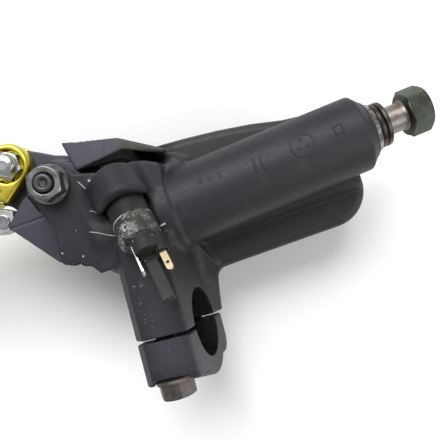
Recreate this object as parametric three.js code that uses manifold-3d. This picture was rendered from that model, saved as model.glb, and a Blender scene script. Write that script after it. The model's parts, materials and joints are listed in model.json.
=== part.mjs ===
import * as THREE from 'three';
import { mergeVertices } from 'three/addons/utils/BufferGeometryUtils.js';
import Module from 'manifold-3d';

// Motorcycle front brake master cylinder, right hand side, lying on its reservoir lid.
// Millimetres. +X inboard along the handlebar in plan, +Y to the bike's front, +Z up off the lid.

// ---- driving dimensions ------------------------------------------------------------------
const GAP = 0.3;

const LID_THICKNESS = 4.4;
const RESERVOIR_TOP = 33;
const RESERVOIR_FLOOR = 29.5;
const RESERVOIR_WALL = 3;
const LID_LEDGE = 7.7;

const BARREL_Z = 42;
const BARREL_SKEW = THREE.MathUtils.degToRad(2.9);
const BARREL_RADIUS = 12.7;
const BARREL_START = -53;
const BARREL_END = 38.8;
const BORE_RADIUS = 7;
const BORE_END = 27;
const PORT_RADIUS = 5.3;
const NECK_END = 43.6;
const WASHER_THICKNESS = 1.6;
const BANJO_HEAD = 54.9;

const PIVOT = new THREE.Vector2(-59.6, 19.7);
const NEAR_EAR = [47.5, 53.5];
const FAR_EAR = [30.5, 36.5];
const HEAD_TOP = 53.6;
const HUB_RADIUS = 8.4;
const BUSH_RADIUS = 5.4;
const PIVOT_SHANK = 4;

const BLADE_PIVOT = new THREE.Vector2(-72.1, 30.6);
const NUT_RECESS_RADIUS = 5.4;
const BLADE_Z = [34.8, 49.2];
const TONGUE_Z = [39.9, 43.8];
const BASE_Z = [36.9, 47.1];
const CAM_AXIS = new THREE.Vector2(-80.2, 14.8);
const WING_ROOF = 48.8;

const BAR_RADIUS = 11.1;
const BAR_TILT = THREE.MathUtils.degToRad(13);
const SPLIT_TILT = THREE.MathUtils.degToRad(4.5);
const BAR_YAW = THREE.MathUtils.degToRad(-3);
const CLAMP_FACE = new THREE.Vector3(-29.4, -37.5, 43);
const CLAMP_WIDTH = 18;
const CLAMP_HALF_HEIGHT = 19.5;
const CLAMP_BOLT_OFFSET = 15.4;
const CAP_DEPTH = 13;
const CLAMP_BOLT_HEAD = 18;
const CLAMP_BOLT_HOLE = 3.4;
const COUNTERBORE_RADIUS = 6.4;

const SWITCH_MOUTH = new THREE.Vector3(-39.4, 5.1, 56.2);
const SWITCH_AXIS = new THREE.Vector3(0.165, -0.85, 0.5).normalize();
const SWITCH_RADIUS = 6.3;
const BOSS_RADIUS = 10;
const BOSS_LENGTH = 10.8;
const BOSS_RISE = 0.8;
const BOSS_SQUEEZE = 0.86;

const LID_SCREWS = [[-31, 0], [31, -4]];
const SCREW_POST_RADIUS = 4.2;
const SIGHT_GLASS = new THREE.Vector3(8, -24.1, 18);
const SIGHT_GLASS_RADIUS = 5.5;

// ---- solid helpers -----------------------------------------------------------------------
const wasm = await Module();
wasm.setup();

function solid(geometry) {
  const bare = geometry.clone();
  bare.deleteAttribute('normal');
  bare.deleteAttribute('uv');
  const merged = mergeVertices(bare, 1e-4);
  const mesh = new wasm.Mesh({
    numProp: 3,
    vertProperties: new Float32Array(merged.attributes.position.array),
    triVerts: new Uint32Array(merged.index.array),
  });
  return new wasm.Manifold(mesh);
}

function surface(manifold) {
  const mesh = manifold.getMesh();
  const geometry = new THREE.BufferGeometry();
  geometry.setAttribute('position', new THREE.BufferAttribute(new Float32Array(mesh.vertProperties), 3));
  geometry.setIndex(new THREE.BufferAttribute(new Uint32Array(mesh.triVerts), 1));
  geometry.computeVertexNormals();
  return geometry;
}

function join(...geometries) {
  return surface(geometries.map(solid).reduce((sum, next) => sum.add(next)));
}

function cut(base, ...tools) {
  return surface(tools.map(solid).reduce((rest, next) => rest.subtract(next), solid(base)));
}

function common(a, b) {
  return surface(solid(a).intersect(solid(b)));
}

// ---- shape helpers: everything is made along +Z from z = 0 and then placed -----------------
function revolve(profile, segments = 32) {
  const points = profile.map(([radius, height]) => new THREE.Vector2(radius, height));
  const geometry = new THREE.LatheGeometry(points, segments);
  geometry.rotateX(Math.PI / 2);
  return geometry;
}

function rod(radius, length, segments = 32) {
  return revolve([[0, 0], [radius, 0], [radius, length], [0, length]], segments);
}

function tube(outer, inner, length, segments = 32) {
  return revolve([[inner, 0], [outer, 0], [outer, length], [inner, length], [inner, 0]], segments);
}

function hexagon(acrossFlats, height) {
  return rod(acrossFlats / Math.sqrt(3), height, 6);
}

function block(x0, x1, y0, y1, z0, z1) {
  const geometry = new THREE.BoxGeometry(x1 - x0, y1 - y0, z1 - z0);
  geometry.translate((x0 + x1) / 2, (y0 + y1) / 2, (z0 + z1) / 2);
  return geometry;
}

function plate(outline, z0, z1, bevel = 0) {
  const shape = new THREE.Shape(outline.map(([x, y]) => new THREE.Vector2(x, y)));
  const geometry = new THREE.ExtrudeGeometry(shape, {
    depth: z1 - z0 - 2 * bevel,
    bevelEnabled: bevel > 0,
    bevelThickness: bevel,
    bevelSize: bevel,
    bevelOffset: -bevel,
    bevelSegments: 2,
    curveSegments: 12,
  });
  geometry.translate(0, 0, z0 + bevel);
  return geometry;
}

function moved(geometry, x, y, z) {
  geometry.translate(x, y, z);
  return geometry;
}

function aimed(geometry, origin, direction) {
  const turn = new THREE.Quaternion().setFromUnitVectors(new THREE.Vector3(0, 0, 1), direction);
  geometry.applyQuaternion(turn);
  geometry.translate(origin.x, origin.y, origin.z);
  return geometry;
}

function arc(cx, cy, radius, fromDegrees, toDegrees, steps) {
  const points = [];
  for (let i = 0; i <= steps; i += 1) {
    const angle = THREE.MathUtils.degToRad(fromDegrees + ((toDegrees - fromDegrees) * i) / steps);
    points.push([cx + radius * Math.cos(angle), cy + radius * Math.sin(angle)]);
  }
  return points;
}

function inset(outline, distance) {
  const count = outline.length;
  return outline.map((point, i) => {
    const before = outline[(i + count - 1) % count];
    const after = outline[(i + 1) % count];
    const a = new THREE.Vector2(point[0] - before[0], point[1] - before[1]).normalize();
    const b = new THREE.Vector2(after[0] - point[0], after[1] - point[1]).normalize();
    const normal = new THREE.Vector2(-a.y - b.y, a.x + b.x).normalize();
    const scale = distance / Math.max(0.3, normal.dot(new THREE.Vector2(-a.y, a.x)));
    return [point[0] + normal.x * scale, point[1] + normal.y * scale];
  });
}

function smooth(points, steps) {
  const places = points.map(([x, y]) => new THREE.Vector3(x, y, 0));
  const curve = new THREE.CatmullRomCurve3(places, false, 'centripetal');
  return curve.getPoints(steps).map((p) => [p.x, p.y]);
}

// A round wire wound along +Z.
function coil(radius, wire, length, turns, stepsPerTurn = 12, sides = 5) {
  const steps = Math.round(turns * stepsPerTurn);
  const positions = [];
  const faces = [];
  for (let i = 0; i <= steps; i += 1) {
    const angle = (i / stepsPerTurn) * Math.PI * 2;
    const height = wire + ((length - 2 * wire) * i) / steps;
    for (let j = 0; j < sides; j += 1) {
      const around = (j / sides) * Math.PI * 2;
      const out = radius + wire * Math.cos(around);
      positions.push(out * Math.cos(angle), out * Math.sin(angle), height + wire * Math.sin(around));
    }
  }
  for (let i = 0; i < steps; i += 1) {
    for (let j = 0; j < sides; j += 1) {
      const a = i * sides + j;
      const b = i * sides + ((j + 1) % sides);
      faces.push(a, a + sides, b, b, a + sides, b + sides);
    }
  }
  const last = steps * sides;
  for (let j = 1; j < sides - 1; j += 1) {
    faces.push(0, j, j + 1);
    faces.push(last, last + j + 1, last + j);
  }
  const geometry = new THREE.BufferGeometry();
  geometry.setAttribute('position', new THREE.Float32BufferAttribute(positions, 3));
  geometry.setIndex(faces);
  geometry.computeVertexNormals();
  return geometry;
}

// ---- frames --------------------------------------------------------------------------------
const barrelDirection = new THREE.Vector3(Math.cos(BARREL_SKEW), Math.sin(BARREL_SKEW), 0);

function barrelPoint(t) {
  return new THREE.Vector3(0, 1.7, BARREL_Z).addScaledVector(barrelDirection, t);
}

function onBarrel(geometry, t) {
  return aimed(geometry, barrelPoint(t), barrelDirection);
}

const barAxis = new THREE.Vector3(Math.cos(BAR_TILT), 0, Math.sin(BAR_TILT));
const clampUp = new THREE.Vector3(-Math.sin(BAR_TILT), 0, Math.cos(BAR_TILT))
  .multiplyScalar(Math.cos(SPLIT_TILT))
  .addScaledVector(new THREE.Vector3(0, 1, 0), Math.sin(SPLIT_TILT));
const clampForward = new THREE.Vector3().crossVectors(clampUp, barAxis);
const clampFrame = new THREE.Matrix4()
  .makeRotationZ(BAR_YAW)
  .multiply(new THREE.Matrix4().makeBasis(barAxis, clampForward, clampUp))
  .setPosition(CLAMP_FACE);

// Clamp frame: x along the bar (0 at the inboard face), y square to the split, z along the split.
function inClamp(geometry) {
  geometry.applyMatrix4(clampFrame);
  return geometry;
}

function onClampBolt(geometry, side, start) {
  return inClamp(geometry.rotateX(-Math.PI / 2).translate(-CLAMP_WIDTH / 2, start, side * CLAMP_BOLT_OFFSET));
}

function onSwitch(geometry, s) {
  const origin = SWITCH_MOUTH.clone().addScaledVector(SWITCH_AXIS, s);
  return aimed(geometry, origin, SWITCH_AXIS);
}

function onGlass(geometry) {
  return aimed(geometry, SIGHT_GLASS, new THREE.Vector3(0, 1, 0));
}

// ---- outlines ------------------------------------------------------------------------------
const reservoirOutline = [
  ...arc(25, -11.1, 13, -90, 0, 8),
  ...arc(22, 1.6, 16, 0, 78, 8),
  [18.5, 18], [7.5, 20.4], [-4.5, 22.2], [-16.5, 23.4],
  ...arc(-31.5, 18.4, 6, 88, 180, 5),
  ...arc(-31.5, -18.1, 6, 180, 270, 5),
];

const earOutline = [
  ...arc(PIVOT.x, PIVOT.y, 8, 70, 195, 10),
  [-67.2, 10.4], [-65.1, 7], [-65, -3.8], [-63.8, -5.2], [-62.2, -5.8], [-59.5, -5.5],
  [-58.4, -7.4], [-55.9, -8.4], [-54, -11.2], [-45, -11.4], [-40, 0], [-40, 17], [-51.3, 20.4],
];

const headOutline = [
  [-54, -11.2], [-29.6, -9.6], [-26.6, 13.2], [-30, 16], [-34, 17], [-49, 17.2], [-50.5, 12], [-54, 8],
];

const wingOutline = [[-51.4, 21.4], [-35.4, 23.2], [-24.6, 18.4], [-22.7, 19.2], [-36.1, 27.4], [-53.4, 31.8]];
const wingWallOutline = [[-36.2, 24.3], [-35, 24.2], [-24.2, 18.5], [-22.8, 19], [-35.6, 26.9], [-37, 27.2]];
const wingRootOutline = [[-27, 19.2], [-22, 12], [-20.4, 16.4], [-22.8, 18.8], [-26, 20.6]];
const webOutline = [[-51, 19.5], [-40, 16], [-24, 12], [-22, 16], [-35.6, 26.6], [-51.2, 27.6]];
// The shoulder that carries the barrel down to the reservoir roof, as (y, z).
const shoulderOutline = [[-4, 30], [-14, 30], [-14, 32.8], [-11.4, 36.2], [-4, 38]];

const tongueOutline = [
  ...arc(PIVOT.x, PIVOT.y, HUB_RADIUS, -60, 40, 8),
  [-54.1, 28.6], [-57.9, 30], [-62, 32.4],
  ...arc(BLADE_PIVOT.x, BLADE_PIVOT.y, 6.4, 60, 190, 8),
  [-79, 22], [-79, 14], [-70, 12],
];

const wedgeOutline = [
  [-67.5, 13.6], [-69.8, 19.9], [-71.4, 19.4], [-78.3, 12.9], [-78.8, 11.7], [-77.2, 10.1], [-67.2, -3.6],
  ...arc(-61.9, -2.2, 4.3, 215, 360, 9),
  [-57.4, 1.4], [-58.3, 3.4], [-56.6, 8.7], [-53.5, 13.6],
];

const tailOutline = [
  [-52.5, 16.6], [-46, 18.4], [-36.6, 18.2], [-35.8, 19], [-36, 21], [-37, 21.6], [-51.6, 22.6],
];

const bladeOutline = [
  ...arc(BLADE_PIVOT.x, BLADE_PIVOT.y, 7.3, 66, -38, 8),
  [-72.3, 21.9],
  ...smooth([[-77, 18.3], [-81, 17.2], [-87, 18], [-100, 21.2], [-118, 22.6], [-140, 21.4], [-160, 18.4],
    [-175, 15.6]], 26),
  ...arc(-181.5, 20.5, 6.8, -48, -200, 9),
  ...smooth([[-178, 27], [-165, 29], [-145, 32.2], [-122, 34.4], [-100, 35.8], [-88, 36.8], [-76, 38.4]], 22),
].reverse();

// Turns an outline in (x, y) made along Z into one in (y, z) made along X.
function alongX(geometry) {
  return geometry.applyMatrix4(new THREE.Matrix4().makeBasis(
    new THREE.Vector3(0, 1, 0), new THREE.Vector3(0, 0, 1), new THREE.Vector3(1, 0, 0),
  ));
}

// The handlebar's room through the clamp.
function handlebar() {
  return inClamp(rod(BAR_RADIUS, 60, 56).rotateY(Math.PI / 2).translate(-40, 0, 0));
}

// ---- body casting --------------------------------------------------------------------------
function masterBody() {
  const reservoir = cut(
    plate(reservoirOutline, 0, RESERVOIR_TOP, 3),
    block(-60, 60, -40, 40, -5, LID_THICKNESS + GAP),
  );
  const barrelProfile = [
    [0, BARREL_START], [BARREL_RADIUS - 1, BARREL_START], [BARREL_RADIUS, BARREL_START + 1],
    [BARREL_RADIUS, BARREL_END - 0.6], [BARREL_RADIUS - 0.7, BARREL_END], [10.4, BARREL_END + 1.7],
    [9.9, BARREL_END + 1.9], [9.6, BARREL_END + 2.8], [8.3, BARREL_END + 3.4], [8.1, NECK_END], [0, NECK_END],
  ];
  const barrel = onBarrel(revolve(barrelProfile.map(([r, t]) => [r, t - BARREL_START]), 48), BARREL_START);
  const saddle = block(-36, 33, -5.5, 9, RESERVOIR_FLOOR, BARREL_Z - 4);
  const head = plate(headOutline, FAR_EAR[0], HEAD_TOP, 1);
  const nearEar = plate(earOutline, NEAR_EAR[0], NEAR_EAR[1]);
  const farEar = plate(earOutline, FAR_EAR[0], FAR_EAR[1]);
  const wing = plate(wingOutline, WING_ROOF, 50.4);
  const wingWall = plate(wingWallOutline, RESERVOIR_FLOOR + 1, 49.9);
  const wingRoot = plate(wingRootOutline, RESERVOIR_FLOOR + 1, 44);
  const web = plate(webOutline, FAR_EAR[0] + 0.5, FAR_EAR[1]);
  const boss = onSwitch(rod(BOSS_RADIUS, BOSS_LENGTH, 40).scale(BOSS_SQUEEZE, 1, 1), BOSS_RISE - BOSS_LENGTH);
  const arm = inClamp(plate([
    [-CLAMP_WIDTH, -3], [0, -3], [0, 30], [-CLAMP_WIDTH + 3, 30], [-CLAMP_WIDTH, 26],
  ], -CLAMP_HALF_HEIGHT, CLAMP_HALF_HEIGHT, 2));
  const gusset = plate([[-30, -8], [-25.4, -8], [-20.8, -24.3], [-24.4, -36], [-30, -36]], 17, 31);
  const shoulder = alongX(plate(shoulderOutline, 0, 60)).translate(-24, 0, 0);

  const shell = join(
    reservoir, barrel, saddle, head, nearEar, farEar, wing, wingWall, wingRoot, web, boss, arm, gusset,
    shoulder,
  );

  const posts = LID_SCREWS.map(([x, y]) => moved(rod(SCREW_POST_RADIUS, 30, 24), x, y, LID_LEDGE));
  const cavity = cut(plate(inset(reservoirOutline, RESERVOIR_WALL), -5, RESERVOIR_FLOOR), ...posts);
  const ledge = plate(inset(reservoirOutline, 1.5), -5, LID_LEDGE);
  const lever = plate([
    [-95, -20], [-57.5, -20], [-53.3, -12], [-53.3, 8.5],
    ...arc(PIVOT.x, PIVOT.y, 11.4, -62, 20, 8),
    [-48.5, 45], [-95, 45],
  ], FAR_EAR[1], NEAR_EAR[0]);
  const tailPocket = block(-49.6, -34, 14.2, 45, FAR_EAR[1], WING_ROOF - 0.1);
  const bore = onBarrel(rod(BORE_RADIUS, BORE_END - BARREL_START + 10, 48), BARREL_START - 10);
  const port = onBarrel(rod(PORT_RADIUS, 40, 32), BORE_END - 1);
  const bootSeat = onBarrel(rod(8.8, 12.4, 40), BARREL_START - 10);
  const clipGroove = onBarrel(rod(7.9, 1.6, 40), -50.2);
  const pivotHole = moved(rod(PIVOT_SHANK + GAP, 80, 28), PIVOT.x, PIVOT.y, 0);
  const switchBore = onSwitch(rod(SWITCH_RADIUS + GAP, 40, 36), -6.2);
  const switchMouth = onSwitch(rod(6.95, 40, 36), -2.2);
  const plungerHole = onSwitch(rod(2.6, 12, 20), -17);
  const barHole = handlebar();
  const split = inClamp(block(-40, 20, -30, 0.5, -40, 40));
  const clampHoles = [-1, 1].map((side) => onClampBolt(rod(CLAMP_BOLT_HOLE, 20, 24), side, -2));
  const screwHoles = LID_SCREWS.map(([x, y]) => moved(rod(2.2, 20, 20), x, y, -2));
  const window = onGlass(rod(7, 12, 36).translate(0, 0, -4));
  const ports = [[-3.5, 0.7], [-20, 1.6]].map(([t, radius]) => {
    const at = barrelPoint(t);
    return moved(rod(radius, 14, 16), at.x, at.y, RESERVOIR_FLOOR - 4);
  });

  return cut(
    shell, cavity, ledge, lever, tailPocket, bore, port, bootSeat, clipGroove, pivotHole, switchBore,
    switchMouth, plungerHole, barHole, split, ...clampHoles, ...screwHoles, window, ...ports,
  );
}

// ---- handlebar clamp -----------------------------------------------------------------------
function clampCap() {
  const side = [
    [0, -CLAMP_HALF_HEIGHT], [0, CLAMP_HALF_HEIGHT],
    [2 - CAP_DEPTH, CLAMP_HALF_HEIGHT], [-CAP_DEPTH, CLAMP_HALF_HEIGHT - 2],
    ...arc(0, 0, 16.6, 38, -38, 12).map(([y, z]) => [-y, z]),
    ...arc(6 - CAP_DEPTH, 6 - CLAMP_HALF_HEIGHT, 6, 180, 270, 5),
  ];
  const lugs = inClamp(common(
    alongX(plate(side, 0, CLAMP_WIDTH, 1.2)).translate(-CLAMP_WIDTH, -0.5, 0),
    block(-CLAMP_WIDTH, 0, -30, -0.5, -40, 40),
  ));
  const barHole = handlebar();
  const holes = [-1, 1].flatMap((side) => [
    onClampBolt(rod(CLAMP_BOLT_HOLE, 40, 24), side, -30),
    onClampBolt(rod(COUNTERBORE_RADIUS, 20, 28), side, 5.9 - CLAMP_BOLT_HEAD - 20),
  ]);
  return cut(lugs, barHole, ...holes);
}

function clampBolt(side) {
  const bolt = join(
    hexagon(10, 5.6),
    moved(rod(5.9, 1.4, 28), 0, 0, 4.4),
    moved(rod(2.9, 20, 20), 0, 0, 5),
  );
  return onClampBolt(bolt, side, -CLAMP_BOLT_HEAD);
}

// ---- reservoir -----------------------------------------------------------------------------
function reservoirLid() {
  const countersinks = LID_SCREWS.map(([x, y]) => moved(
    revolve([[0, -1], [4.3, -1], [4.3, 0.4], [2.3, 2.9], [2.3, 8], [0, 8]], 24), x, y, 0,
  ));
  return cut(plate(reservoirOutline, 0, LID_THICKNESS), ...countersinks);
}

function lidScrew([x, y]) {
  const screw = revolve([[0, 0.2], [3.9, 0.2], [3.9, 0.5], [1.9, 2.9], [1.9, 17], [1.3, 18], [0, 18]], 24);
  const slots = [0, 1].map((turn) => block(-2.2, 2.2, -0.5, 0.5, -1, 1.4).rotateZ((turn * Math.PI) / 2));
  return moved(cut(screw, ...slots), x, y, 0);
}

function diaphragmPlate() {
  const holes = LID_SCREWS.map(([x, y]) => moved(rod(2.6, 10, 20), x, y, 0));
  const vents = [-12, 0, 12].map((x) => moved(rod(1.5, 10, 16), x, -1, 0));
  return cut(plate(inset(reservoirOutline, 2), 4.7, 5.7), ...holes, ...vents);
}

const bagOutline = [
  ...arc(18, -13, 5, -90, 0, 4), ...arc(18, 7, 5, 0, 90, 4), ...arc(-17, 7, 5, 90, 180, 4),
  ...arc(-17, -13, 5, 180, 270, 4),
];

function diaphragm() {
  const holes = LID_SCREWS.map(([x, y]) => moved(rod(4.7, 10, 24), x, y, 2));
  const sheet = plate(inset(reservoirOutline, 1.8), 6, 7.4);
  const bag = join(
    plate(bagOutline, 6.2, 12),
    plate(inset(bagOutline, 2.5), 11, 17),
  );
  const hollow = join(
    plate(inset(bagOutline, 1.2), 5, 10.8),
    plate(inset(bagOutline, 3.7), 9, 15.8),
  );
  return cut(join(sheet, bag), hollow, ...holes);
}

function splashBaffle() {
  const at = barrelPoint(-11);
  const sheet = block(-13, 13, -5, 5, 27.6, 28.4);
  const feet = [-12.6, 12.6].map((x) => block(x - 1, x + 1, -5, 5, 27.6, RESERVOIR_FLOOR - GAP));
  const slots = [-6, 6].map((x) => block(x - 2, x + 2, -1, 1, 20, 32));
  return moved(cut(join(sheet, ...feet), ...slots), at.x, at.y, 0);
}

function sightGlass() {
  const edge = SIGHT_GLASS_RADIUS;
  return onGlass(revolve([[0, 0], [edge - 0.2, 0], [edge, 0.3], [edge, 2.4], [0, 2.4]], 36));
}

function sightSeal() {
  return onGlass(tube(6.7, SIGHT_GLASS_RADIUS + GAP, 2.6, 36));
}

// ---- hydraulics ----------------------------------------------------------------------------
function piston() {
  const body = revolve([
    [0, 0], [3.4, 0], [4.5, 0.8], [4.5, 9.6], [6.75, 9.6], [6.75, 14], [4.6, 14], [4.6, 19], [6.75, 19],
    [6.75, 21], [5, 22.4], [5, 42], [6.75, 43.4], [6.75, 45.4], [4.4, 45.4], [4.4, 49.4], [5.2, 49.4],
    [5.2, 50.4], [3.6, 50.4], [3.6, 53.4], [0, 53.4],
  ], 28);
  return onBarrel(body, -56.8);
}

function primaryCup() {
  return onBarrel(revolve([
    [4.7, 0], [6.6, 0], [6.9, 3.4], [6.3, 3.4], [5.9, 1.5], [4.7, 1.5], [4.7, 0],
  ], 36), -11.1);
}

function secondaryCup() {
  return onBarrel(revolve([
    [4.9, 0], [6.6, 0], [6.9, 4.2], [6.3, 4.2], [5.9, 1.6], [4.9, 1.6], [4.9, 0],
  ], 36), -42.5);
}

function returnSpring() {
  return onBarrel(coil(5.6, 0.6, 32.2, 8), -5.8);
}

function pistonWasher() {
  return onBarrel(tube(6.7, 4.9, 0.8, 32), -48.3);
}

function circlip() {
  const ring = tube(7.6, 5.6, 1, 40);
  const opening = block(-1.6, 1.6, 3, 10, -1, 3);
  const ears = [-1, 1].map((side) => moved(tube(1.2, 0.5, 1, 12), side * 2.6, 5.4, 0));
  const eyes = [-1, 1].map((side) => moved(rod(0.5, 4, 12), side * 2.6, 5.4, -1));
  return onBarrel(cut(join(cut(ring, opening), ...ears), ...eyes), -49.9);
}

function dustBoot() {
  return onBarrel(revolve([
    [8.4, 2.4], [8.4, 4.9], [7, 4.9], [7, 3.6], [6.4, 3.1], [5.9, 1.3], [4.8, 1.3], [4.8, 0.2], [6.3, 0.2],
    [6.9, 2.4], [8.4, 2.4],
  ], 36), -55.7);
}

// ---- outlet --------------------------------------------------------------------------------
function banjoBolt() {
  const bolt = join(
    onBarrel(revolve([[0, 0], [4.2, 0], [4.8, 0.8], [4.8, 22], [0, 22]]), BANJO_HEAD - 21.5),
    onBarrel(hexagon(14, 7), BANJO_HEAD),
    onBarrel(rod(7.2, 0.8), BANJO_HEAD - 0.4),
  );
  const cross = onBarrel(rod(2.1, 16, 20), BANJO_HEAD - 23);
  return cut(bolt, cross);
}

function crushWasher(t) {
  return onBarrel(tube(7.5, 5.2, WASHER_THICKNESS), t);
}

// ---- lever ---------------------------------------------------------------------------------
function leverBase() {
  const hub = moved(rod(HUB_RADIUS, BASE_Z[1] - BASE_Z[0], 40), PIVOT.x, PIVOT.y, BASE_Z[0]);
  const tongue = plate(tongueOutline, TONGUE_Z[0], TONGUE_Z[1]);
  const wedge = plate(wedgeOutline, BASE_Z[0], BASE_Z[1]);
  const tail = plate(tailOutline, 38, 46.8);
  const tailLug = plate([[-44.6, 18.3], [-39.4, 18.25], [-39.4, 20.7], [-44.6, 21]], 44, 48.4);
  const camLug = plate([
    ...arc(CAM_AXIS.x, CAM_AXIS.y, 3, 60, 250, 8), [-76, 11.6], [-74.5, 15.5],
  ], BASE_Z[0], BASE_Z[0] + 1.2);
  const facet = plate([[-82, 11.7], [-66.7, 11.7], [-66.7, -14], [-82, -14]], 0, 20)
    .translate(0, -11.7, 0).rotateX(-0.34).translate(0, 11.7, BASE_Z[1]);
  const pivotHole = moved(rod(BUSH_RADIUS + GAP, 30, 32), PIVOT.x, PIVOT.y, 30);
  const bladeHole = moved(rod(3.2, 30, 24), BLADE_PIVOT.x, BLADE_PIVOT.y, 30);
  const camRoom = moved(rod(5.2, BASE_Z[1] - BASE_Z[0] - 2.4, 32), CAM_AXIS.x, CAM_AXIS.y, BASE_Z[0] + 1.2);
  const camHole = moved(rod(1.7, 30, 16), CAM_AXIS.x, CAM_AXIS.y, 30);
  return cut(join(hub, tongue, wedge, tail, tailLug, camLug), facet, pivotHole, bladeHole, camRoom, camHole);
}

function leverBlade() {
  const blade = plate(bladeOutline, BLADE_Z[0], BLADE_Z[1], 1.6);
  const slot = plate([
    [-60, 8], [-60, 45], [-75, 45], [-80.5, 36], [-80.5, 8],
  ], TONGUE_Z[0] - GAP, TONGUE_Z[1] + GAP);
  const window = plate([[-85.5, 22.5], [-80, 21.6], [-76.6, 23.6], [-84, 28.2], [-86.6, 26]], 20, 60);
  const pivotHole = moved(rod(3.2, 40, 24), BLADE_PIVOT.x, BLADE_PIVOT.y, 25);
  const recess = moved(rod(NUT_RECESS_RADIUS, 10, 36), BLADE_PIVOT.x, BLADE_PIVOT.y, BLADE_Z[1] - 3.1);
  const camNotch = moved(rod(6.3, 40, 36), CAM_AXIS.x, CAM_AXIS.y, 25);
  return cut(blade, slot, window, pivotHole, recess, camNotch);
}

function pivotBush() {
  const length = BASE_Z[1] - BASE_Z[0] + 0.2;
  return moved(tube(BUSH_RADIUS, PIVOT_SHANK + GAP, length, 32), PIVOT.x, PIVOT.y, BASE_Z[0] - 0.1);
}

function pivotBolt() {
  return moved(join(
    hexagon(10, 4),
    moved(rod(6.8, 1.6, 32), 0, 0, 3.4),
    moved(rod(PIVOT_SHANK, 23.4, 28), 0, 0, 5),
    moved(revolve([[0, 0], [2.9, 0], [2.9, 6.2], [2.3, 6.9], [0, 6.9]], 24), 0, 0, 28.3),
  ), PIVOT.x, PIVOT.y, 25.2);
}

function flangeNut() {
  const nut = join(
    revolve([[0, 0], [6.3, 0], [6.3, 0.9], [5.4, 1.7], [0, 1.7]], 36),
    moved(hexagon(10, 5.8).rotateZ(-0.2), 0, 0, 0),
  );
  return moved(cut(nut, moved(rod(3.2, 20, 24), 0, 0, -2)), PIVOT.x, PIVOT.y, NEAR_EAR[1] + GAP);
}

function bladeBolt() {
  return moved(join(
    revolve([[0, 0], [3.2, 0], [5, 1.6], [5, 3.2], [0, 3.2]], 32),
    moved(rod(2.9, 15.4, 24), 0, 0, 3),
  ), BLADE_PIVOT.x, BLADE_PIVOT.y, 31.3);
}

function bladeNut() {
  const nut = join(hexagon(8.6, 3.4), revolve([[0, 0], [3.9, 0], [3.9, 3.8], [3, 5.2], [0, 5.6]], 28));
  return moved(cut(nut, moved(rod(3.2, 4.6, 24), 0, 0, -1)), BLADE_PIVOT.x, BLADE_PIVOT.y, BLADE_Z[1] - 2.8);
}

function adjusterCam() {
  const cam = rod(4.5, BASE_Z[1] - BASE_Z[0] - 3, 32);
  const flats = [0, 1, 2, 3, 4].map((i) => {
    const turn = THREE.MathUtils.degToRad(i * 72 + 60);
    return block(3.9 - 0.1 * i, 9, -5, 5, -1, 20).rotateZ(turn);
  });
  const hole = moved(rod(1.7, 30, 16), 0, 0, -5);
  return moved(cut(cam, ...flats, hole), CAM_AXIS.x, CAM_AXIS.y, BASE_Z[0] + 1.5);
}

function adjusterPin() {
  return moved(join(
    rod(1.4, 10.4, 16),
    moved(rod(2.3, 0.7, 20), 0, 0, 9.8),
    rod(2, 0.8, 20),
  ), CAM_AXIS.x, CAM_AXIS.y, BASE_Z[0] - 1.1);
}

// ---- brake light switch --------------------------------------------------------------------
function switchBody() {
  const profile = [
    [0, -5.7], [5.7, -5.7], [6.1, -5.2], [6.1, 6.2], [SWITCH_RADIUS, 6.4], [SWITCH_RADIUS, 13], [5.9, 13.6],
    [0, 13.6],
  ];
  const barrel = onSwitch(revolve(profile.map(([r, s]) => [r, s + 5.7]), 40), -5.7);
  const nose = onSwitch(common(rod(5, 5.2, 32), block(-3.4, 5, -5, 5, 0, 10)), 13.4);
  const socket = onSwitch(moved(rod(2, 6.4, 20), 3.9, 0.8, 0), 13.4);
  const tongue = onSwitch(block(-1.8, 1.9, -3, -0.6, 0, 17), 16);
  const hollow = onSwitch(rod(2.5, 12, 24), -6);
  const uprightSlot = onSwitch(block(-4, -2.6, -1.1, 2.7, 0, 12), 14.4);
  const flatSlot = onSwitch(block(2.5, 5.3, 0.1, 1.5, 0, 12), 16);
  return cut(join(barrel, nose, socket, tongue), hollow, uprightSlot, flatSlot);
}

function switchTerminal(x, halfWidth, turned, start) {
  const blade = cut(
    block(-halfWidth, halfWidth, -0.4, 0.4, 0, 9.6),
    block(-3, 0.5 - halfWidth, -2, 2, 9.1, 12),
    block(halfWidth - 0.5, 3, -2, 2, 9.1, 12),
    moved(rod(0.45, 4, 12).rotateX(Math.PI / 2), 0, 2, 7),
  );
  if (turned) {
    blade.rotateZ(Math.PI / 2);
  }
  return onSwitch(blade.translate(x, 0.8, 0), start);
}

function switchPlunger() {
  return onSwitch(revolve([[0, 0], [1.2, 0], [2, 0.8], [2, 13.4], [0, 13.4]], 24), -15.2);
}

function switchSpring() {
  return onSwitch(coil(1.7, 0.3, 6.6, 5, 9, 4), -1.5);
}

// ---- finishes ------------------------------------------------------------------------------
function finish(color, metalness, roughness) {
  return new THREE.MeshStandardMaterial({ color, metalness, roughness, flatShading: true });
}

const castBlack = finish(0x202226, 0.35, 0.45);
const plasticBlack = finish(0x17181a, 0, 0.55);
const rubber = finish(0x101010, 0, 0.85);
const anodisedBlack = finish(0x1d1f24, 0.6, 0.35);
const gold = finish(0xc79a1b, 0.9, 0.32);
const zinc = finish(0x9b978c, 0.85, 0.4);
const darkSteel = finish(0x6d6a5c, 0.85, 0.5);
const steel = finish(0xb9bcc0, 0.95, 0.25);
const copper = finish(0x8f8f90, 0.9, 0.35);
const brass = finish(0xc9bd92, 0.9, 0.3);
const aluminium = finish(0xc4c6ca, 0.9, 0.35);
const glass = finish(0x3c4650, 0, 0.1);

// ---- assembly ------------------------------------------------------------------------------
const group = new THREE.Group();
group.name = 'brake_master_cylinder';

function add(name, geometry, material) {
  const mesh = new THREE.Mesh(geometry, material);
  mesh.name = name;
  group.add(mesh);
}

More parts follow.
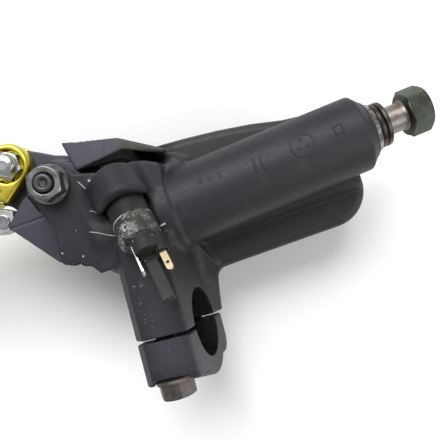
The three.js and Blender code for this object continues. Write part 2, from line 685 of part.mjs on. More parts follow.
add('master_body', masterBody(), castBlack);
add('reservoir_lid', reservoirLid(), castBlack);
add('lid_screw_outer', lidScrew(LID_SCREWS[0]), steel);
add('lid_screw_inner', lidScrew(LID_SCREWS[1]), steel);
add('diaphragm_plate', diaphragmPlate(), plasticBlack);
add('diaphragm', diaphragm(), rubber);
add('splash_baffle', splashBaffle(), steel);
add('sight_glass', sightGlass(), glass);
add('sight_glass_seal', sightSeal(), rubber);

add('clamp_cap', clampCap(), castBlack);
add('clamp_bolt_lower', clampBolt(1), darkSteel);
add('clamp_bolt_upper', clampBolt(-1), darkSteel);

add('piston', piston(), aluminium);
add('primary_cup', primaryCup(), rubber);
add('secondary_cup', secondaryCup(), rubber);
add('return_spring', returnSpring(), steel);
add('piston_washer', pistonWasher(), steel);
add('circlip', circlip(), steel);
add('dust_boot', dustBoot(), rubber);

add('banjo_bolt', banjoBolt(), darkSteel);
add('crush_washer_inner', crushWasher(NECK_END + GAP), darkSteel);
add('crush_washer_outer', crushWasher(NECK_END + WASHER_THICKNESS + 2 * GAP), copper);

add('lever_base', leverBase(), anodisedBlack);
add('pivot_bush', pivotBush(), brass);
add('lever_blade', leverBlade(), gold);
add('pivot_bolt', pivotBolt(), zinc);
add('pivot_nut', flangeNut(), zinc);
add('blade_bolt', bladeBolt(), steel);
add('blade_nut', bladeNut(), steel);
add('adjuster_cam', adjusterCam(), aluminium);
add('adjuster_pin', adjusterPin(), steel);

add('switch_body', switchBody(), plasticBlack);
add('switch_terminal_outer', switchTerminal(-3.3, 1.6, true, 15), steel);
add('switch_terminal_inner', switchTerminal(3.9, 1.1, false, 16.6), brass);
add('switch_plunger', switchPlunger(), plasticBlack);
add('switch_spring', switchSpring(), steel);

export default group;
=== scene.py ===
"""The looks of a motorcycle front brake master cylinder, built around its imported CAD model.

Shapes are signed distance fields in millimetres, so that castings get their fillets, and are
meshed at the frame's own place and scale. The part lies on its reservoir lid.
"""
import json
import math
import bpy
import numpy as np
from mathutils import Matrix, Vector

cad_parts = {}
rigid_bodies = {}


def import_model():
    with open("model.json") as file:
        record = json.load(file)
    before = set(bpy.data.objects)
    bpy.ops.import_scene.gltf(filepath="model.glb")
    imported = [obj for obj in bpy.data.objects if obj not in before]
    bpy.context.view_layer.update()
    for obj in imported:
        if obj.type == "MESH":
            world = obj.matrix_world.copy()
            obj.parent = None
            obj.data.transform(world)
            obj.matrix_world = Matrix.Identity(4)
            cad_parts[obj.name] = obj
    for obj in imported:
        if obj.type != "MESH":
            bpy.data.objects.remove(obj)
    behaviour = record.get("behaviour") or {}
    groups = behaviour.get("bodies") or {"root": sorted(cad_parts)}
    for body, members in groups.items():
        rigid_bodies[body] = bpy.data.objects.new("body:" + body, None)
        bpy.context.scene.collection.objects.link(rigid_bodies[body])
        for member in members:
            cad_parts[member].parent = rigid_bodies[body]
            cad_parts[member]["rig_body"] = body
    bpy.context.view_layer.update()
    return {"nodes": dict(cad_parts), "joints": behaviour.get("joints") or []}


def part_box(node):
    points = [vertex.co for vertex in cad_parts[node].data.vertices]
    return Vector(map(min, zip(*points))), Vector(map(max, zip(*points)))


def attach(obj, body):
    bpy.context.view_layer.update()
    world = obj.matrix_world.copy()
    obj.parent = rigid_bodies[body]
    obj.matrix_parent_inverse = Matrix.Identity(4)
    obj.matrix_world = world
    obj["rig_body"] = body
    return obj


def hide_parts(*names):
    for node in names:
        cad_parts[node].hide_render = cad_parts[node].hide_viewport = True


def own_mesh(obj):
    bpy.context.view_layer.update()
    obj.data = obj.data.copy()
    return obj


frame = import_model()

JOINTS = {joint["name"]: joint for joint in frame["joints"]}
MM = 0.001
RIGHT, UP = Vector((1, 0, 0)), Vector((0, 0, 1))
COARSER = 1.0


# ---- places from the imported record, and sizes in millimetres that follow the CAD ----
def joint_place(name):
    return Vector(JOINTS[name]["pos_m"]) / MM


def joint_axis(name):
    return Vector(JOINTS[name]["axis"])


PIVOT = joint_place("lever_pull")
BLADE_PIVOT = joint_place("reach_turn")
CAM_AXIS = joint_place("cam_turn")
BARREL_AXIS = joint_axis("piston_stroke")
BARREL_ORIGIN = Vector((0, 1.7, PIVOT.z))
SWITCH_AXIS = -joint_axis("switch_release")
SWITCH_MOUTH = Vector((-39.4, 5.1, 56.2))
SWITCH_RADIUS = 6.3
SWITCH_COLLAR = 6.3
BOSS_RADIUS = 10
BOSS_RISE = 0.8
BOSS_SQUEEZE = 0.86
HOOD_RAKE = 0.5
HOOD_RAKE_START = 4

LID_THICKNESS = 4.4
RESERVOIR_TOP = 33
RESERVOIR_FLOOR = 29.5
RESERVOIR_WALL = 3
WALL_FOOT = RESERVOIR_FLOOR + 1
LID_LEDGE = 7.7
LID_SCREWS = [(-31, 0), (31, -4)]
SIGHT_GLASS = Vector((8, -24.1, 18))

BARREL_RADIUS = 12.7
BARREL_START = -53
BARREL_END = 38.8
NECK_END = 43.6
BORE_RADIUS = 7
BORE_END = 27
WASHER_THICKNESS = 1.6
BANJO_HEAD = 54.9
BANJO_HEX = 14
GAP = 0.3

NEAR_EAR = (47.5, 53.5)
FAR_EAR = (30.5, 36.5)
HEAD_TOP = 53.6
HEAD_RIGHT = -26
WING_ROOF = 48.8
BASE_Z = (36.9, 47.1)
TONGUE_Z = (39.9, 43.8)
BLADE_Z = (34.8, 49.2)
BLADE_HOLE = 3.2
CAM_HOLE = 1.7
CAM_WALL = 1.2
M6_HEX = 10
M6_THREAD = 2.95
HEX_CHAMFER_START = 0.97
HEX_CHAMFER_SLOPE = 1.7

BAR_RADIUS = 11.1
CLAMP_FACE = Vector((-29.4, -37.5, 43.0))
CLAMP_WIDTH = 18
CLAMP_HALF_HEIGHT = 19.5
CLAMP_BOLT_OFFSET = 15.4
CLAMP_BOLT_HEAD = 18
CLAMP_BOLT_HOLE = 3.4
CAP_GAP = 0.5
CAP_DEPTH = 13
BAR_TILT = math.radians(13)
SPLIT_TILT = math.radians(4.5)
BAR_YAW = math.radians(-3)


# ---- distance fields ----
class Space:
    """Coordinates of every sample, as arrays that broadcast against each other."""

    def __init__(self, x, y, z):
        self.x, self.y, self.z = x, y, z

    def within(self, origin, basis):
        """The same samples in a turned frame, whose axes are the columns of basis."""
        dx, dy, dz = self.x - origin[0], self.y - origin[1], self.z - origin[2]
        return Space(*(dx * axis[0] + dy * axis[1] + dz * axis[2] for axis in basis.transposed()))

    def at(self, x, y, z=0.0):
        return Space(self.x - x, self.y - y, self.z - z)

    def radius(self):
        return np.sqrt(self.x ** 2 + self.y ** 2)

    def turned(self, angle):
        c, s = math.cos(angle), math.sin(angle)
        return Space(self.x * c + self.y * s, self.y * c - self.x * s, self.z)


def aim(direction):
    return UP.rotation_difference(Vector(direction)).to_matrix()


def on_axis(s, axis, z=0.0):
    """The samples as seen from an upright axis, at a height."""
    return s.at(axis.x, axis.y, z)


def polygon(x, y, points):
    """Signed distance to a closed outline, negative inside."""
    shape = np.broadcast(x, y).shape
    nearest = np.full(shape, 1e12, np.float32)
    inside = np.zeros(shape, bool)
    for (ax, ay), (bx, by) in zip(points, points[1:] + points[:1]):
        ex, ey = bx - ax, by - ay
        length = ex * ex + ey * ey
        if length < 1e-12:
            continue
        wx, wy = x - ax, y - ay
        t = np.clip((wx * ex + wy * ey) / length, 0, 1)
        nearest = np.minimum(nearest, (wx - ex * t) ** 2 + (wy - ey * t) ** 2)
        if ey:
            inside ^= ((ay > y) != (by > y)) & (x < ex * wy / ey + ax)
    distance = np.sqrt(nearest)
    return np.where(inside, -distance, distance)


def slab(flat, z, low, high, rounding):
    """An outline's field made solid between two heights, with rounded edges."""
    a = flat + rounding
    b = np.abs(z - (low + high) / 2) - (high - low) / 2 + rounding
    outside = np.sqrt(np.maximum(a, 0) ** 2 + np.maximum(b, 0) ** 2)
    return np.minimum(np.maximum(a, b), 0) + outside - rounding


def prism(s, outline, low, high, rounding=0.0):
    return slab(polygon(s.x, s.y, outline), s.z, low, high, rounding)


def rod(s, radius, low, high, rounding=0.0):
    return slab(s.radius() - radius, s.z, low, high, rounding)


def lathe(s, profile):
    """A turned solid. The profile is a list of (radius, height) that starts and ends on the axis."""
    mirrored = [(-radius, height) for radius, height in reversed(profile) if radius > 0]
    return polygon(s.radius(), s.z, profile + mirrored)


def box(s, low, high, rounding=0.0):
    outline = [(low[0], low[1]), (high[0], low[1]), (high[0], high[1]), (low[0], high[1])]
    return prism(s, outline, low[2], high[2], rounding)


def hexagon(s, across_flats, low, high, chamfer_low=False, chamfer_high=True):
    """A hexagonal head or nut, with the corners turned off at its chamfered ends."""
    flat = np.maximum(np.abs(s.x), np.abs(s.x / 2 + s.y * math.sqrt(3) / 2))
    flat = np.maximum(flat, np.abs(s.x / 2 - s.y * math.sqrt(3) / 2)) - across_flats / 2
    solid = slab(flat, s.z, low, high, 0.15)
    beyond = s.radius() - across_flats / 2 * HEX_CHAMFER_START
    if chamfer_high:
        solid = np.maximum(solid, (beyond - (high - s.z) * HEX_CHAMFER_SLOPE) * 0.5)
    if chamfer_low:
        solid = np.maximum(solid, (beyond - (s.z - low) * HEX_CHAMFER_SLOPE) * 0.5)
    return solid


def thread(s, radius, low, high, pitch, depth):
    """A threaded shank. The field is scaled down so that it never claims too much distance."""
    turn = np.arctan2(s.y, s.x) / (2 * math.pi)
    wave = np.abs(np.mod(s.z / pitch - turn, 1.0) - 0.5) * 2
    return slab((s.radius() - radius + depth * wave) * 0.8, s.z, low, high, 0.3)


def join(a, b, fillet=0.0):
    """The union of two fields, with a fillet where they meet."""
    if not fillet:
        return np.minimum(a, b)
    near = np.maximum(fillet - np.abs(a - b), 0) / fillet
    return np.minimum(a, b) - near * near * fillet / 4


def carve(a, b, fillet=0.0):
    """Cuts b out of a. A fillet rounds the new edge."""
    return -join(-a, b, fillet)


def bored(solid, *holes):
    """Cuts round holes. Each is a frame, a radius, two ends and, if its edge is rounded, a fillet."""
    for hole, radius, low, high, *fillet in holes:
        solid = carve(solid, rod(hole, radius, low, high), *fillet)
    return solid


def arc(cx, cy, radius, start, end, steps):
    angles = [math.radians(start + (end - start) * i / steps) for i in range(steps + 1)]
    return [(cx + radius * math.cos(a), cy + radius * math.sin(a)) for a in angles]


def spline(points, steps):
    """A Catmull-Rom line through the points."""
    p = [np.array(q, float) for q in points]
    p = [2 * p[0] - p[1], *p, 2 * p[-1] - p[-2]]
    line = []
    for i in range(1, len(p) - 2):
        for t in np.linspace(0, 1, steps, endpoint=False):
            a = 2 * p[i] + (p[i + 1] - p[i - 1]) * t
            b = (2 * p[i - 1] - 5 * p[i] + 4 * p[i + 1] - p[i + 2]) * t * t
            c = (3 * p[i] - p[i - 1] - 3 * p[i + 1] + p[i + 2]) * t ** 3
            line.append(tuple((a + b + c) / 2))
    return line + [tuple(p[-2])]


def inset(outline, distance):
    """The outline moved inwards (anticlockwise outlines)."""
    moved = []
    for i, point in enumerate(outline):
        a = (Vector(point) - Vector(outline[i - 1])).normalized()
        b = (Vector(outline[(i + 1) % len(outline)]) - Vector(point)).normalized()
        normal = Vector((-a.y - b.y, a.x + b.x)).normalized()
        stretch = max(0.3, normal.dot(Vector((-a.y, a.x))))
        moved.append(tuple(Vector(point) + normal * distance / stretch))
    return moved


# ---- meshing ----
CORNERS = np.array([(i, j, k) for i in (0, 1) for j in (0, 1) for k in (0, 1)])
EDGES = [(a, b) for a in range(8) for b in range(a + 1, 8) if np.abs(CORNERS[a] - CORNERS[b]).sum() == 1]


def surface_net(values, low, step):
    """Vertices and quads of the field's zero surface: one vertex in each cell that it crosses."""
    inside = values < 0
    size = [n - 1 for n in values.shape]

    def corner(array, offset):
        i, j, k = offset
        return array[i:i + size[0], j:j + size[1], k:k + size[2]]

    count = sum(corner(inside, c).astype(np.int8) for c in CORNERS)
    cells = np.argwhere((count > 0) & (count < 8))
    samples = [values[tuple((cells + c).T)] for c in CORNERS]
    total = np.zeros((len(cells), 3))
    crossings = np.zeros(len(cells))
    for a, b in EDGES:
        va, vb = samples[a], samples[b]
        crossed = (va < 0) != (vb < 0)
        t = np.where(crossed, va / np.where(crossed, va - vb, 1), 0)
        total += crossed[:, None] * (CORNERS[a] + t[:, None] * (CORNERS[b] - CORNERS[a]))
        crossings += crossed
    vertices = np.array(low) + (cells + total / crossings[:, None]) * step
    number = np.full(size, -1, np.int32)
    number[tuple(cells.T)] = np.arange(len(cells))

    quads = []
    for axis in range(3):
        u, v = (axis + 1) % 3, (axis + 2) % 3
        here = [slice(1, n) for n in size]
        here[axis] = slice(0, size[axis])
        there = list(here)
        there[axis] = slice(1, size[axis] + 1)
        start, end = inside[tuple(here)], inside[tuple(there)]
        for leaving in (True, False):
            points = np.argwhere(start & ~end if leaving else ~start & end)
            points[:, u] += 1
            points[:, v] += 1
            ring = []
            for du, dv in ((-1, -1), (0, -1), (0, 0), (-1, 0)):
                cell = points.copy()
                cell[:, u] += du
                cell[:, v] += dv
                ring.append(number[tuple(cell.T)])
            quads.append(np.stack(ring if leaving else ring[::-1], axis=1))
    return vertices, np.concatenate(quads)


def new_object(name, data):
    made = bpy.data.objects.new(name, data)
    bpy.context.scene.collection.objects.link(made)
    return made


def mesh_object(name, vertices, faces):
    mesh = bpy.data.meshes.new(name)
    mesh.from_pydata((np.asarray(vertices) * MM).tolist(), [], np.asarray(faces).tolist())
    mesh.shade_smooth()
    return new_object(name, mesh)


def decimate(made, ratio):
    modifier = made.modifiers.new("fewer_faces", "DECIMATE")
    modifier.ratio = ratio
    bpy.context.view_layer.objects.active = made
    bpy.ops.object.modifier_apply(modifier=modifier.name)


def place(made, node, material, stands_in=True):
    """The piece moves with its CAD node's body and, unless it is an addition, stands for the node."""
    made.data.materials.append(material)
    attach(made, frame["nodes"][node]["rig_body"])
    if stands_in:
        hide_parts(node)
    return made


def meshed(name, field, low, high, step, most_faces):
    """Meshes a distance field between two corners."""
    step *= COARSER
    low = np.array(low) - 2.5 * step
    counts = np.ceil((np.array(high) + 2.5 * step - low) / step).astype(int) + 1
    x, y, z = (low[i] + step * np.arange(counts[i], dtype=np.float32) for i in range(3))
    space = Space(x[:, None, None], y[None, :, None], z[None, None, :])
    values = np.broadcast_to(field(space), counts).astype(np.float32)
    made = mesh_object(name, *surface_net(values, low, step))
    triangles = 2 * len(made.data.polygons)
    if triangles > most_faces:
        decimate(made, most_faces / triangles)
    made.data.shade_smooth()
    return made


def sculpt(node, field, step, slot, material, most_faces):
    """Meshes a distance field over its CAD node's box, and stands it in for the node."""
    low, high = (np.array(corner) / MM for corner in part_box(node))
    return place(meshed(node + "_fine", field, low, high, step, most_faces), node, material)


# ---- materials ----
# Scratches and chips on the head's flat face, in plan: two ends and a width.
SCRATCHES = [
    ((-51.2, 17.6), (-49.6, 14.8), 0.15),
    ((-50.7, 7.9), (-49.6, 7.5), 0.11),
    ((-49.6, 7.5), (-48.7, 6.5), 0.09),
    ((-52.9, 1.9), (-50.6, 0.9), 0.13),
    ((-50.6, 0.9), (-47.9, -0.8), 0.11),
    ((-47.9, -0.8), (-45.9, -1.8), 0.14),
    ((-31.6, -3.6), (-30.2, -3.4), 0.3),
    ((-47.9, 16.9), (-47.5, 16.4), 0.32),
    ((-57.4, -4.6), (-57.2, -4.4), 0.22),
    ((-63.2, -1.4), (-62.9, -1.6), 0.2),
]
# A patch of fine white chips: two ends.
ARM_SCUFF = ((-41.5, -20.5, 60), (-41, -28.5, 60))
# Painted highlights and reflections, and painted shade, laid over the paint: two ends, a width, how ragged
# its edge is, a colour.
PAINTED_LIGHT_TINTS = [
    # painted highlights on the wing's two facets
    ((-51, 27, 49.6), (-39, 25.6, 49.6), 5, 0.15, (0.046, 0.048, 0.060)),
    ((-34.2, 25, 49.2), (-23, 17.5, 48.6), 3.2, 0.15, (0.055, 0.053, 0.047)),
    # painted highlights and reflections on the arm, the clamp cap and the reservoir's roof
    ((-37, -18, 60), (-41, -36, 56), 9, 0.5, (0.034, 0.034, 0.039)),
    ((-39, -41, 54), (-39, -51, 50), 13, 0.4, (0.046, 0.049, 0.057)),
    ((-14, 20, 33), (22, 16, 33), 9, 0.4, (0.036, 0.036, 0.037)),
    # painted shade in the pocket under the wing
    ((-50, 25, 34), (-30, 21.5, 34), 9.5, 0.3, (0.0030, 0.0030, 0.0032)),
]


def grey(tone):
    return (tone, tone, tone)


class Nodes:
    """A short way to write a material's node tree."""

    def __init__(self, name):
        self.material = bpy.data.materials.new(name)
        self.material.use_nodes = True
        self.tree = self.material.node_tree
        self.shader = self.tree.nodes["Principled BSDF"]
        self.place = self.add("ShaderNodeTexCoord").outputs["Object"]

    def add(self, kind, inputs=(), **settings):
        node = self.tree.nodes.new(kind)
        for key, value in settings.items():
            setattr(node, key, value)
        for key, value in dict(inputs).items():
            self.feed(node.inputs[key], value)
        return node

    def feed(self, socket, value):
        if isinstance(value, bpy.types.NodeSocket):
            self.tree.links.new(value, socket)
        else:
            socket.default_value = value

    def stretched(self, scale, turn=(0, 0, 0)):
        inputs = {"Vector": self.place, "Scale": scale, "Rotation": turn}
        return self.add("ShaderNodeMapping", inputs).outputs[0]

    def noise(self, scale, detail=3.0, rough=0.55, where=None, distortion=0.0):
        node = self.add("ShaderNodeTexNoise", {
            "Vector": where or self.place, "Scale": scale, "Detail": detail, "Roughness": rough,
            "Distortion": distortion,
        })
        return node.outputs["Fac"]

    def cells(self, scale):
        node = self.add("ShaderNodeTexVoronoi", {"Vector": self.place, "Scale": scale})
        return node.outputs["Distance"]

    def remap(self, value, low, high, to_low=0.0, to_high=1.0):
        node = self.add("ShaderNodeMapRange", {
            "Value": value, "From Min": low, "From Max": high, "To Min": to_low, "To Max": to_high,
        })
        node.clamp = True
        return node.outputs[0]

    def math(self, operation, a, b=0.0):
        return self.add("ShaderNodeMath", {0: a, 1: b}, operation=operation).outputs[0]

    def times(self, a, b):
        return self.math("MULTIPLY", a, b)

    def vectors(self, operation, a, b, output=0):
        return self.add("ShaderNodeVectorMath", {0: a, 1: b}, operation=operation).outputs[output]

    def mix(self, factor, a, b):
        a, b = (tone if isinstance(tone, bpy.types.NodeSocket) else (*tone, 1) for tone in (a, b))
        return self.add("ShaderNodeMix", {0: factor, 6: a, 7: b}, data_type="RGBA").outputs[2]

    def segment(self, start, end, width, ragged, where=None):
        """A mask that is 1 within width of a line, for a scratch, a chip or a worn patch."""
        a, b = (Vector(point).to_3d() * MM for point in (start, end))
        along = b - a
        from_a = self.vectors("SUBTRACT", where or self.place, a)
        share = self.vectors("DOT_PRODUCT", from_a, along / along.length_squared, "Value")
        share = self.remap(share, 0, 1)
        scaled = self.add("ShaderNodeVectorMath", {0: along, "Scale": share}, operation="SCALE")
        away = self.vectors("DISTANCE", from_a, scaled.outputs[0], "Value")
        rough_edge = self.times(self.noise(2500, 2), 2 * ragged * width * MM)
        away = self.math("ADD", away, rough_edge)
        return self.remap(away, width * MM * 1.25, width * MM * 0.85)

    def along(self, axis, origin):
        """How far a point lies from the origin along an axis, in metres."""
        offset = self.vectors("SUBTRACT", self.place, origin * MM)
        return self.vectors("DOT_PRODUCT", offset, axis, "Value")

    def most(self, *masks):
        total = masks[0]
        for mask in masks[1:]:
            total = self.math("MAXIMUM", total, mask)
        return total

    def bump(self, height, distance_mm, strength=1.0, after=None):
        inputs = {"Height": height, "Distance": distance_mm * MM, "Strength": strength}
        if after is not None:
            inputs["Normal"] = after
        return self.add("ShaderNodeBump", inputs).outputs[0]

    def finish(self, **sockets):
        names = {
            "color": "Base Color", "rough": "Roughness", "metal": "Metallic", "normal": "Normal",
            "specular": "Specular IOR Level", "transmission": "Transmission Weight", "ior": "IOR",
        }
        for key, value in sockets.items():
            self.feed(self.shader.inputs[names[key]], value)
        return self.material


def cast_paint():
    """Satin black paint over a fine sand-cast skin, with dust, chips and a few white scratches, painted
    highlights on the wing, arm, cap and roof, and painted shade in the pocket under the wing.
    """
    n = Nodes("cast_paint")
    patch = n.noise(45, 4)
    grain = n.noise(1500, 3, 0.6)
    pits = n.cells(900)
    dust = n.remap(n.noise(160, 6, 0.7), 0.56, 0.74)
    near_head = n.remap(n.along(RIGHT, RIGHT * HEAD_RIGHT), 0, -4 * MM)
    specks = n.times(n.remap(n.cells(520), 0.12, 0.07), n.remap(n.noise(90, 3), 0.60, 0.70))
    specks = n.times(specks, near_head)
    flecks = n.times(n.remap(n.noise(900, 5, 0.75), 0.60, 0.66), n.segment(*ARM_SCUFF, 5.5, 0.2))
    plan = n.stretched((1, 1, 0))
    scratches = n.most(*(n.segment(*scratch, 0.3, plan) for scratch in SCRATCHES))
    on_top = n.remap(n.along(UP, UP * (HEAD_TOP - 1.6)), 0, 0.5 * MM)
    scratches = n.times(scratches, on_top)
    white = n.most(n.times(specks, 0.6), n.times(flecks, 0.6), n.times(scratches, 0.9))
    color = n.mix(n.remap(patch, 0.3, 0.7), (0.0185, 0.0188, 0.0222), (0.0262, 0.0265, 0.0300))
    color = n.mix(n.times(dust, 0.12), color, grey(0.10))
    color = n.mix(white, color, (0.58, 0.58, 0.57))
    # lay the painted highlights and painted shade of the tint table over the paint
    for start, end, width, ragged, tone in PAINTED_LIGHT_TINTS:
        color = n.mix(n.segment(start, end, width, ragged), color, tone)
    along = n.along(BARREL_AXIS, BARREL_ORIGIN)
    bare = n.remap(along, (BARREL_END + 2.6) * MM, (BARREL_END + 2.9) * MM)
    metal = n.mix(n.remap(n.noise(500, 4), 0.4, 0.6), (0.10, 0.09, 0.08), (0.42, 0.40, 0.38))
    color = n.mix(bare, color, metal)
    rough = n.math("ADD", n.remap(grain, 0.3, 0.7, 0.44, 0.58), n.times(dust, 0.12))
    fine = n.bump(grain, 0.05, 0.5)
    normal = n.bump(n.times(pits, n.noise(300, 2)), 0.06, 0.4, fine)
    return n.finish(color=color, rough=rough, metal=n.times(bare, 0.9), normal=normal, specular=0.28)


def moulded(name, dark, light, low_rough, high_rough):
    """Moulded black plastic with a fine spark-eroded texture and handling marks."""
    n = Nodes(name)
    grain = n.cells(1300)
    smear = n.noise(120, 5, 0.65, n.stretched((1, 0.25, 1), (0, 0, 0.6)))
    color = n.mix(n.remap(smear, 0.35, 0.7), dark, light)
    rough = n.remap(smear, 0.3, 0.7, low_rough, high_rough)
    return n.finish(color=color, rough=rough, normal=n.bump(grain, 0.04, 0.5))


def scuffed_plastic():
    """The switch's black plastic: white scrapes over its exposed lower half and a chalky collar seam."""
    n = Nodes("scuffed_plastic")
    along = n.along(SWITCH_AXIS, SWITCH_MOUTH)
    exposed = n.times(n.remap(along, 6.0 * MM, 6.8 * MM), n.remap(along, 14.0 * MM, 13.4 * MM))
    left_side = n.remap(n.along(RIGHT, SWITCH_MOUTH), 3.5 * MM, -0.5 * MM, 0.25, 1.0)
    waves = n.noise(430, 7, 0.8, distortion=1.8)
    scraped = n.remap(n.math("ABSOLUTE", n.math("SUBTRACT", waves, 0.5)), 0.050, 0.012)
    scraped = n.times(scraped, n.remap(n.noise(210, 5, 0.75), 0.44, 0.54))
    from_seam = n.math("ABSOLUTE", n.math("SUBTRACT", along, SWITCH_COLLAR * MM))
    seam = n.times(n.remap(from_seam, 0.3 * MM, 0.12 * MM), n.remap(n.noise(260, 3), 0.42, 0.56))
    rare = n.times(n.remap(n.cells(900), 0.2, 0.1), n.remap(n.noise(140, 3), 0.52, 0.62))
    scraped = n.times(scraped, exposed)
    white = n.times(scraped, left_side)
    white = n.most(white, n.times(seam, 0.8), n.times(rare, 0.6))
    base = n.mix(n.noise(90, 4), (0.013, 0.013, 0.012), (0.026, 0.025, 0.022))
    base = n.mix(n.times(exposed, 0.35), base, (0.055, 0.05, 0.04))
    color = n.mix(n.times(white, 0.92), base, (0.66, 0.66, 0.65))
    rough = n.remap(white, 0, 1, 0.5, 0.8)
    normal = n.bump(scraped, 0.08, 0.6, n.bump(n.noise(1500, 2), 0.03, 0.4))
    return n.finish(color=color, rough=rough, normal=normal, specular=0.25)


def anodised(name, dark, light, low_rough, high_rough, metal=1.0):
    """Machined and anodised aluminium: faint cutter lines, a blotchy haze and a few fine scratches."""
    n = Nodes(name)
    lines = n.noise(260, 2, 0.5, n.stretched((9, 1, 1), (0, 0, 0.35)))
    haze = n.noise(70, 5, 0.6)
    hair = n.remap(n.noise(500, 2, 0.5, n.stretched((0.05, 1.6, 1), (0, 0, 1.1)), 0.4), 0.70, 0.76)
    color = n.mix(n.remap(haze, 0.35, 0.7), dark, light)
    color = n.mix(n.times(hair, 0.25), color, tuple(min(1.0, c * 1.6 + 0.05) for c in light))
    rough = n.math("ADD", n.remap(haze, 0.3, 0.7, low_rough, high_rough), n.times(lines, 0.08))
    return n.finish(color=color, rough=rough, metal=metal, normal=n.bump(lines, 0.015, 0.5))


def plated(name, dark, light, stain, stain_share, low_rough, high_rough, rust=0.0):
    """Plated steel fasteners, with dull patches, a coloured stain and, if asked, rust."""
    n = Nodes(name)
    blotch = n.noise(220, 5, 0.65)
    tint = n.remap(n.noise(130, 4, 0.6), 0.62 - 0.3 * stain_share, 0.78 - 0.3 * stain_share)
    corroded = n.remap(n.noise(340, 6, 0.7), 0.72 - 0.3 * rust, 0.80 - 0.3 * rust)
    color = n.mix(n.remap(blotch, 0.3, 0.7), dark, light)
    color = n.mix(n.times(tint, 0.7), color, stain)
    rough = n.remap(blotch, 0.3, 0.7, low_rough, high_rough)
    metal = 0.9
    if rust:
        color = n.mix(corroded, color, (0.13, 0.055, 0.028))
        rough = n.math("MAXIMUM", rough, n.times(corroded, 0.85))
        metal = n.remap(corroded, 0, 1, 0.9, 0.1)
    normal = n.bump(n.noise(1400, 4, 0.6), 0.03, 0.6)
    return n.finish(color=color, rough=rough, metal=metal, normal=normal)


def painted_shade_grease():
    """Nearly black grit-textured finish, used as painted shade in the pocket under the wing, the bar bores,
    the clamp bolts' shanks and the lever's tail.
    """
    n = Nodes("painted_shade_grease")
    grit = n.noise(700, 6, 0.75)
    color = n.mix(n.remap(grit, 0.45, 0.7), grey(0.004), (0.022, 0.018, 0.014))
    rough = n.remap(grit, 0.3, 0.7, 0.6, 0.85)
    return n.finish(color=color, rough=rough, normal=n.bump(grit, 0.12, 0.7), specular=0.1)


def turned_metal(name, color_a, color_b, low_rough, high_rough):
    """Bright turned or drawn metal with fine tool rings."""
    n = Nodes(name)
    rings = n.noise(900, 2, 0.5, n.stretched((3, 0.6, 0.6)))
    haze = n.noise(150, 4)
    color = n.mix(n.remap(haze, 0.3, 0.7), color_a, color_b)
    rough = n.remap(haze, 0.3, 0.7, low_rough, high_rough)
    return n.finish(color=color, rough=rough, metal=1.0, normal=n.bump(rings, 0.012, 0.5))


def rubber_skin():
    """Dull black rubber with a grey bloom."""
    n = Nodes("brake_rubber")
    bloom = n.noise(200, 5, 0.6)
    color = n.mix(n.remap(bloom, 0.4, 0.75), grey(0.012), (0.035, 0.034, 0.033))
    rough = n.remap(bloom, 0.3, 0.7, 0.55, 0.8)
    return n.finish(color=color, rough=rough, normal=n.bump(n.noise(1800, 3), 0.03, 0.5))


def window_glass():
    """The sight glass: clear, with a slight haze."""
    n = Nodes("level_window")
    haze = n.noise(250, 4)
    color = n.mix(haze, (0.55, 0.60, 0.62), (0.70, 0.74, 0.75))
    rough = n.remap(haze, 0.3, 0.7, 0.08, 0.2)
    return n.finish(color=color, rough=rough, transmission=0.75, ior=1.49)


PAINT = cast_paint()
LID = moulded("lid_black", (0.018, 0.018, 0.02), (0.034, 0.034, 0.036), 0.42, 0.6)
PLASTIC = moulded("plastic_black", (0.015, 0.015, 0.016), (0.028, 0.028, 0.03), 0.45, 0.62)
SCUFFED = scuffed_plastic()
GOLD = anodised("gold_anodised", (0.50, 0.39, 0.022), (0.74, 0.63, 0.10), 0.22, 0.36)
BLACK_ANODISED = anodised("black_anodised", (0.044, 0.042, 0.058), (0.066, 0.064, 0.084), 0.42, 0.55, 0.3)
SHADE_GREASE = painted_shade_grease()
CLEAR_ANODISED = anodised("clear_anodised", (0.42, 0.42, 0.43), grey(0.58), 0.38, 0.52)
ZINC = plated("dull_zinc", grey(0.105), grey(0.245), (0.27, 0.16, 0.175), 0.3, 0.3, 0.46)
DARK_ZINC = plated(
    "dark_zinc", (0.040, 0.038, 0.040), (0.10, 0.095, 0.10), (0.13, 0.075, 0.085), 0.3, 0.32, 0.5,
)
OLIVE = plated(
    "olive_plate", (0.045, 0.048, 0.036), (0.10, 0.105, 0.085), (0.05, 0.065, 0.05), 0.6, 0.36, 0.5,
)
SHANK = plated(
    "rusty_shank", (0.14, 0.13, 0.115), (0.36, 0.34, 0.31), (0.20, 0.115, 0.085), 0.5, 0.32, 0.5, 0.3,
)
RUSTY = plated(
    "rusty_steel", (0.085, 0.08, 0.074), (0.19, 0.18, 0.165), (0.15, 0.11, 0.095), 0.6, 0.45, 0.65, 0.5,
)
BRIGHT = turned_metal("bright_steel", grey(0.50), (0.68, 0.68, 0.67), 0.18, 0.34)
DARK_COPPER = plated(
    "dark_washer", (0.022, 0.020, 0.019), (0.06, 0.055, 0.05), (0.12, 0.07, 0.06), 0.4, 0.3, 0.48,
)
DARK_WASHER = plated(
    "outer_washer", (0.03, 0.029, 0.028), (0.08, 0.076, 0.072), (0.14, 0.09, 0.08), 0.5, 0.28, 0.46,
)
STEEL = ("bright_steel", BRIGHT)
BRASS = turned_metal("brass", (0.24, 0.19, 0.11), (0.38, 0.32, 0.21), 0.34, 0.5)
RUBBER = rubber_skin()
GLASS = window_glass()


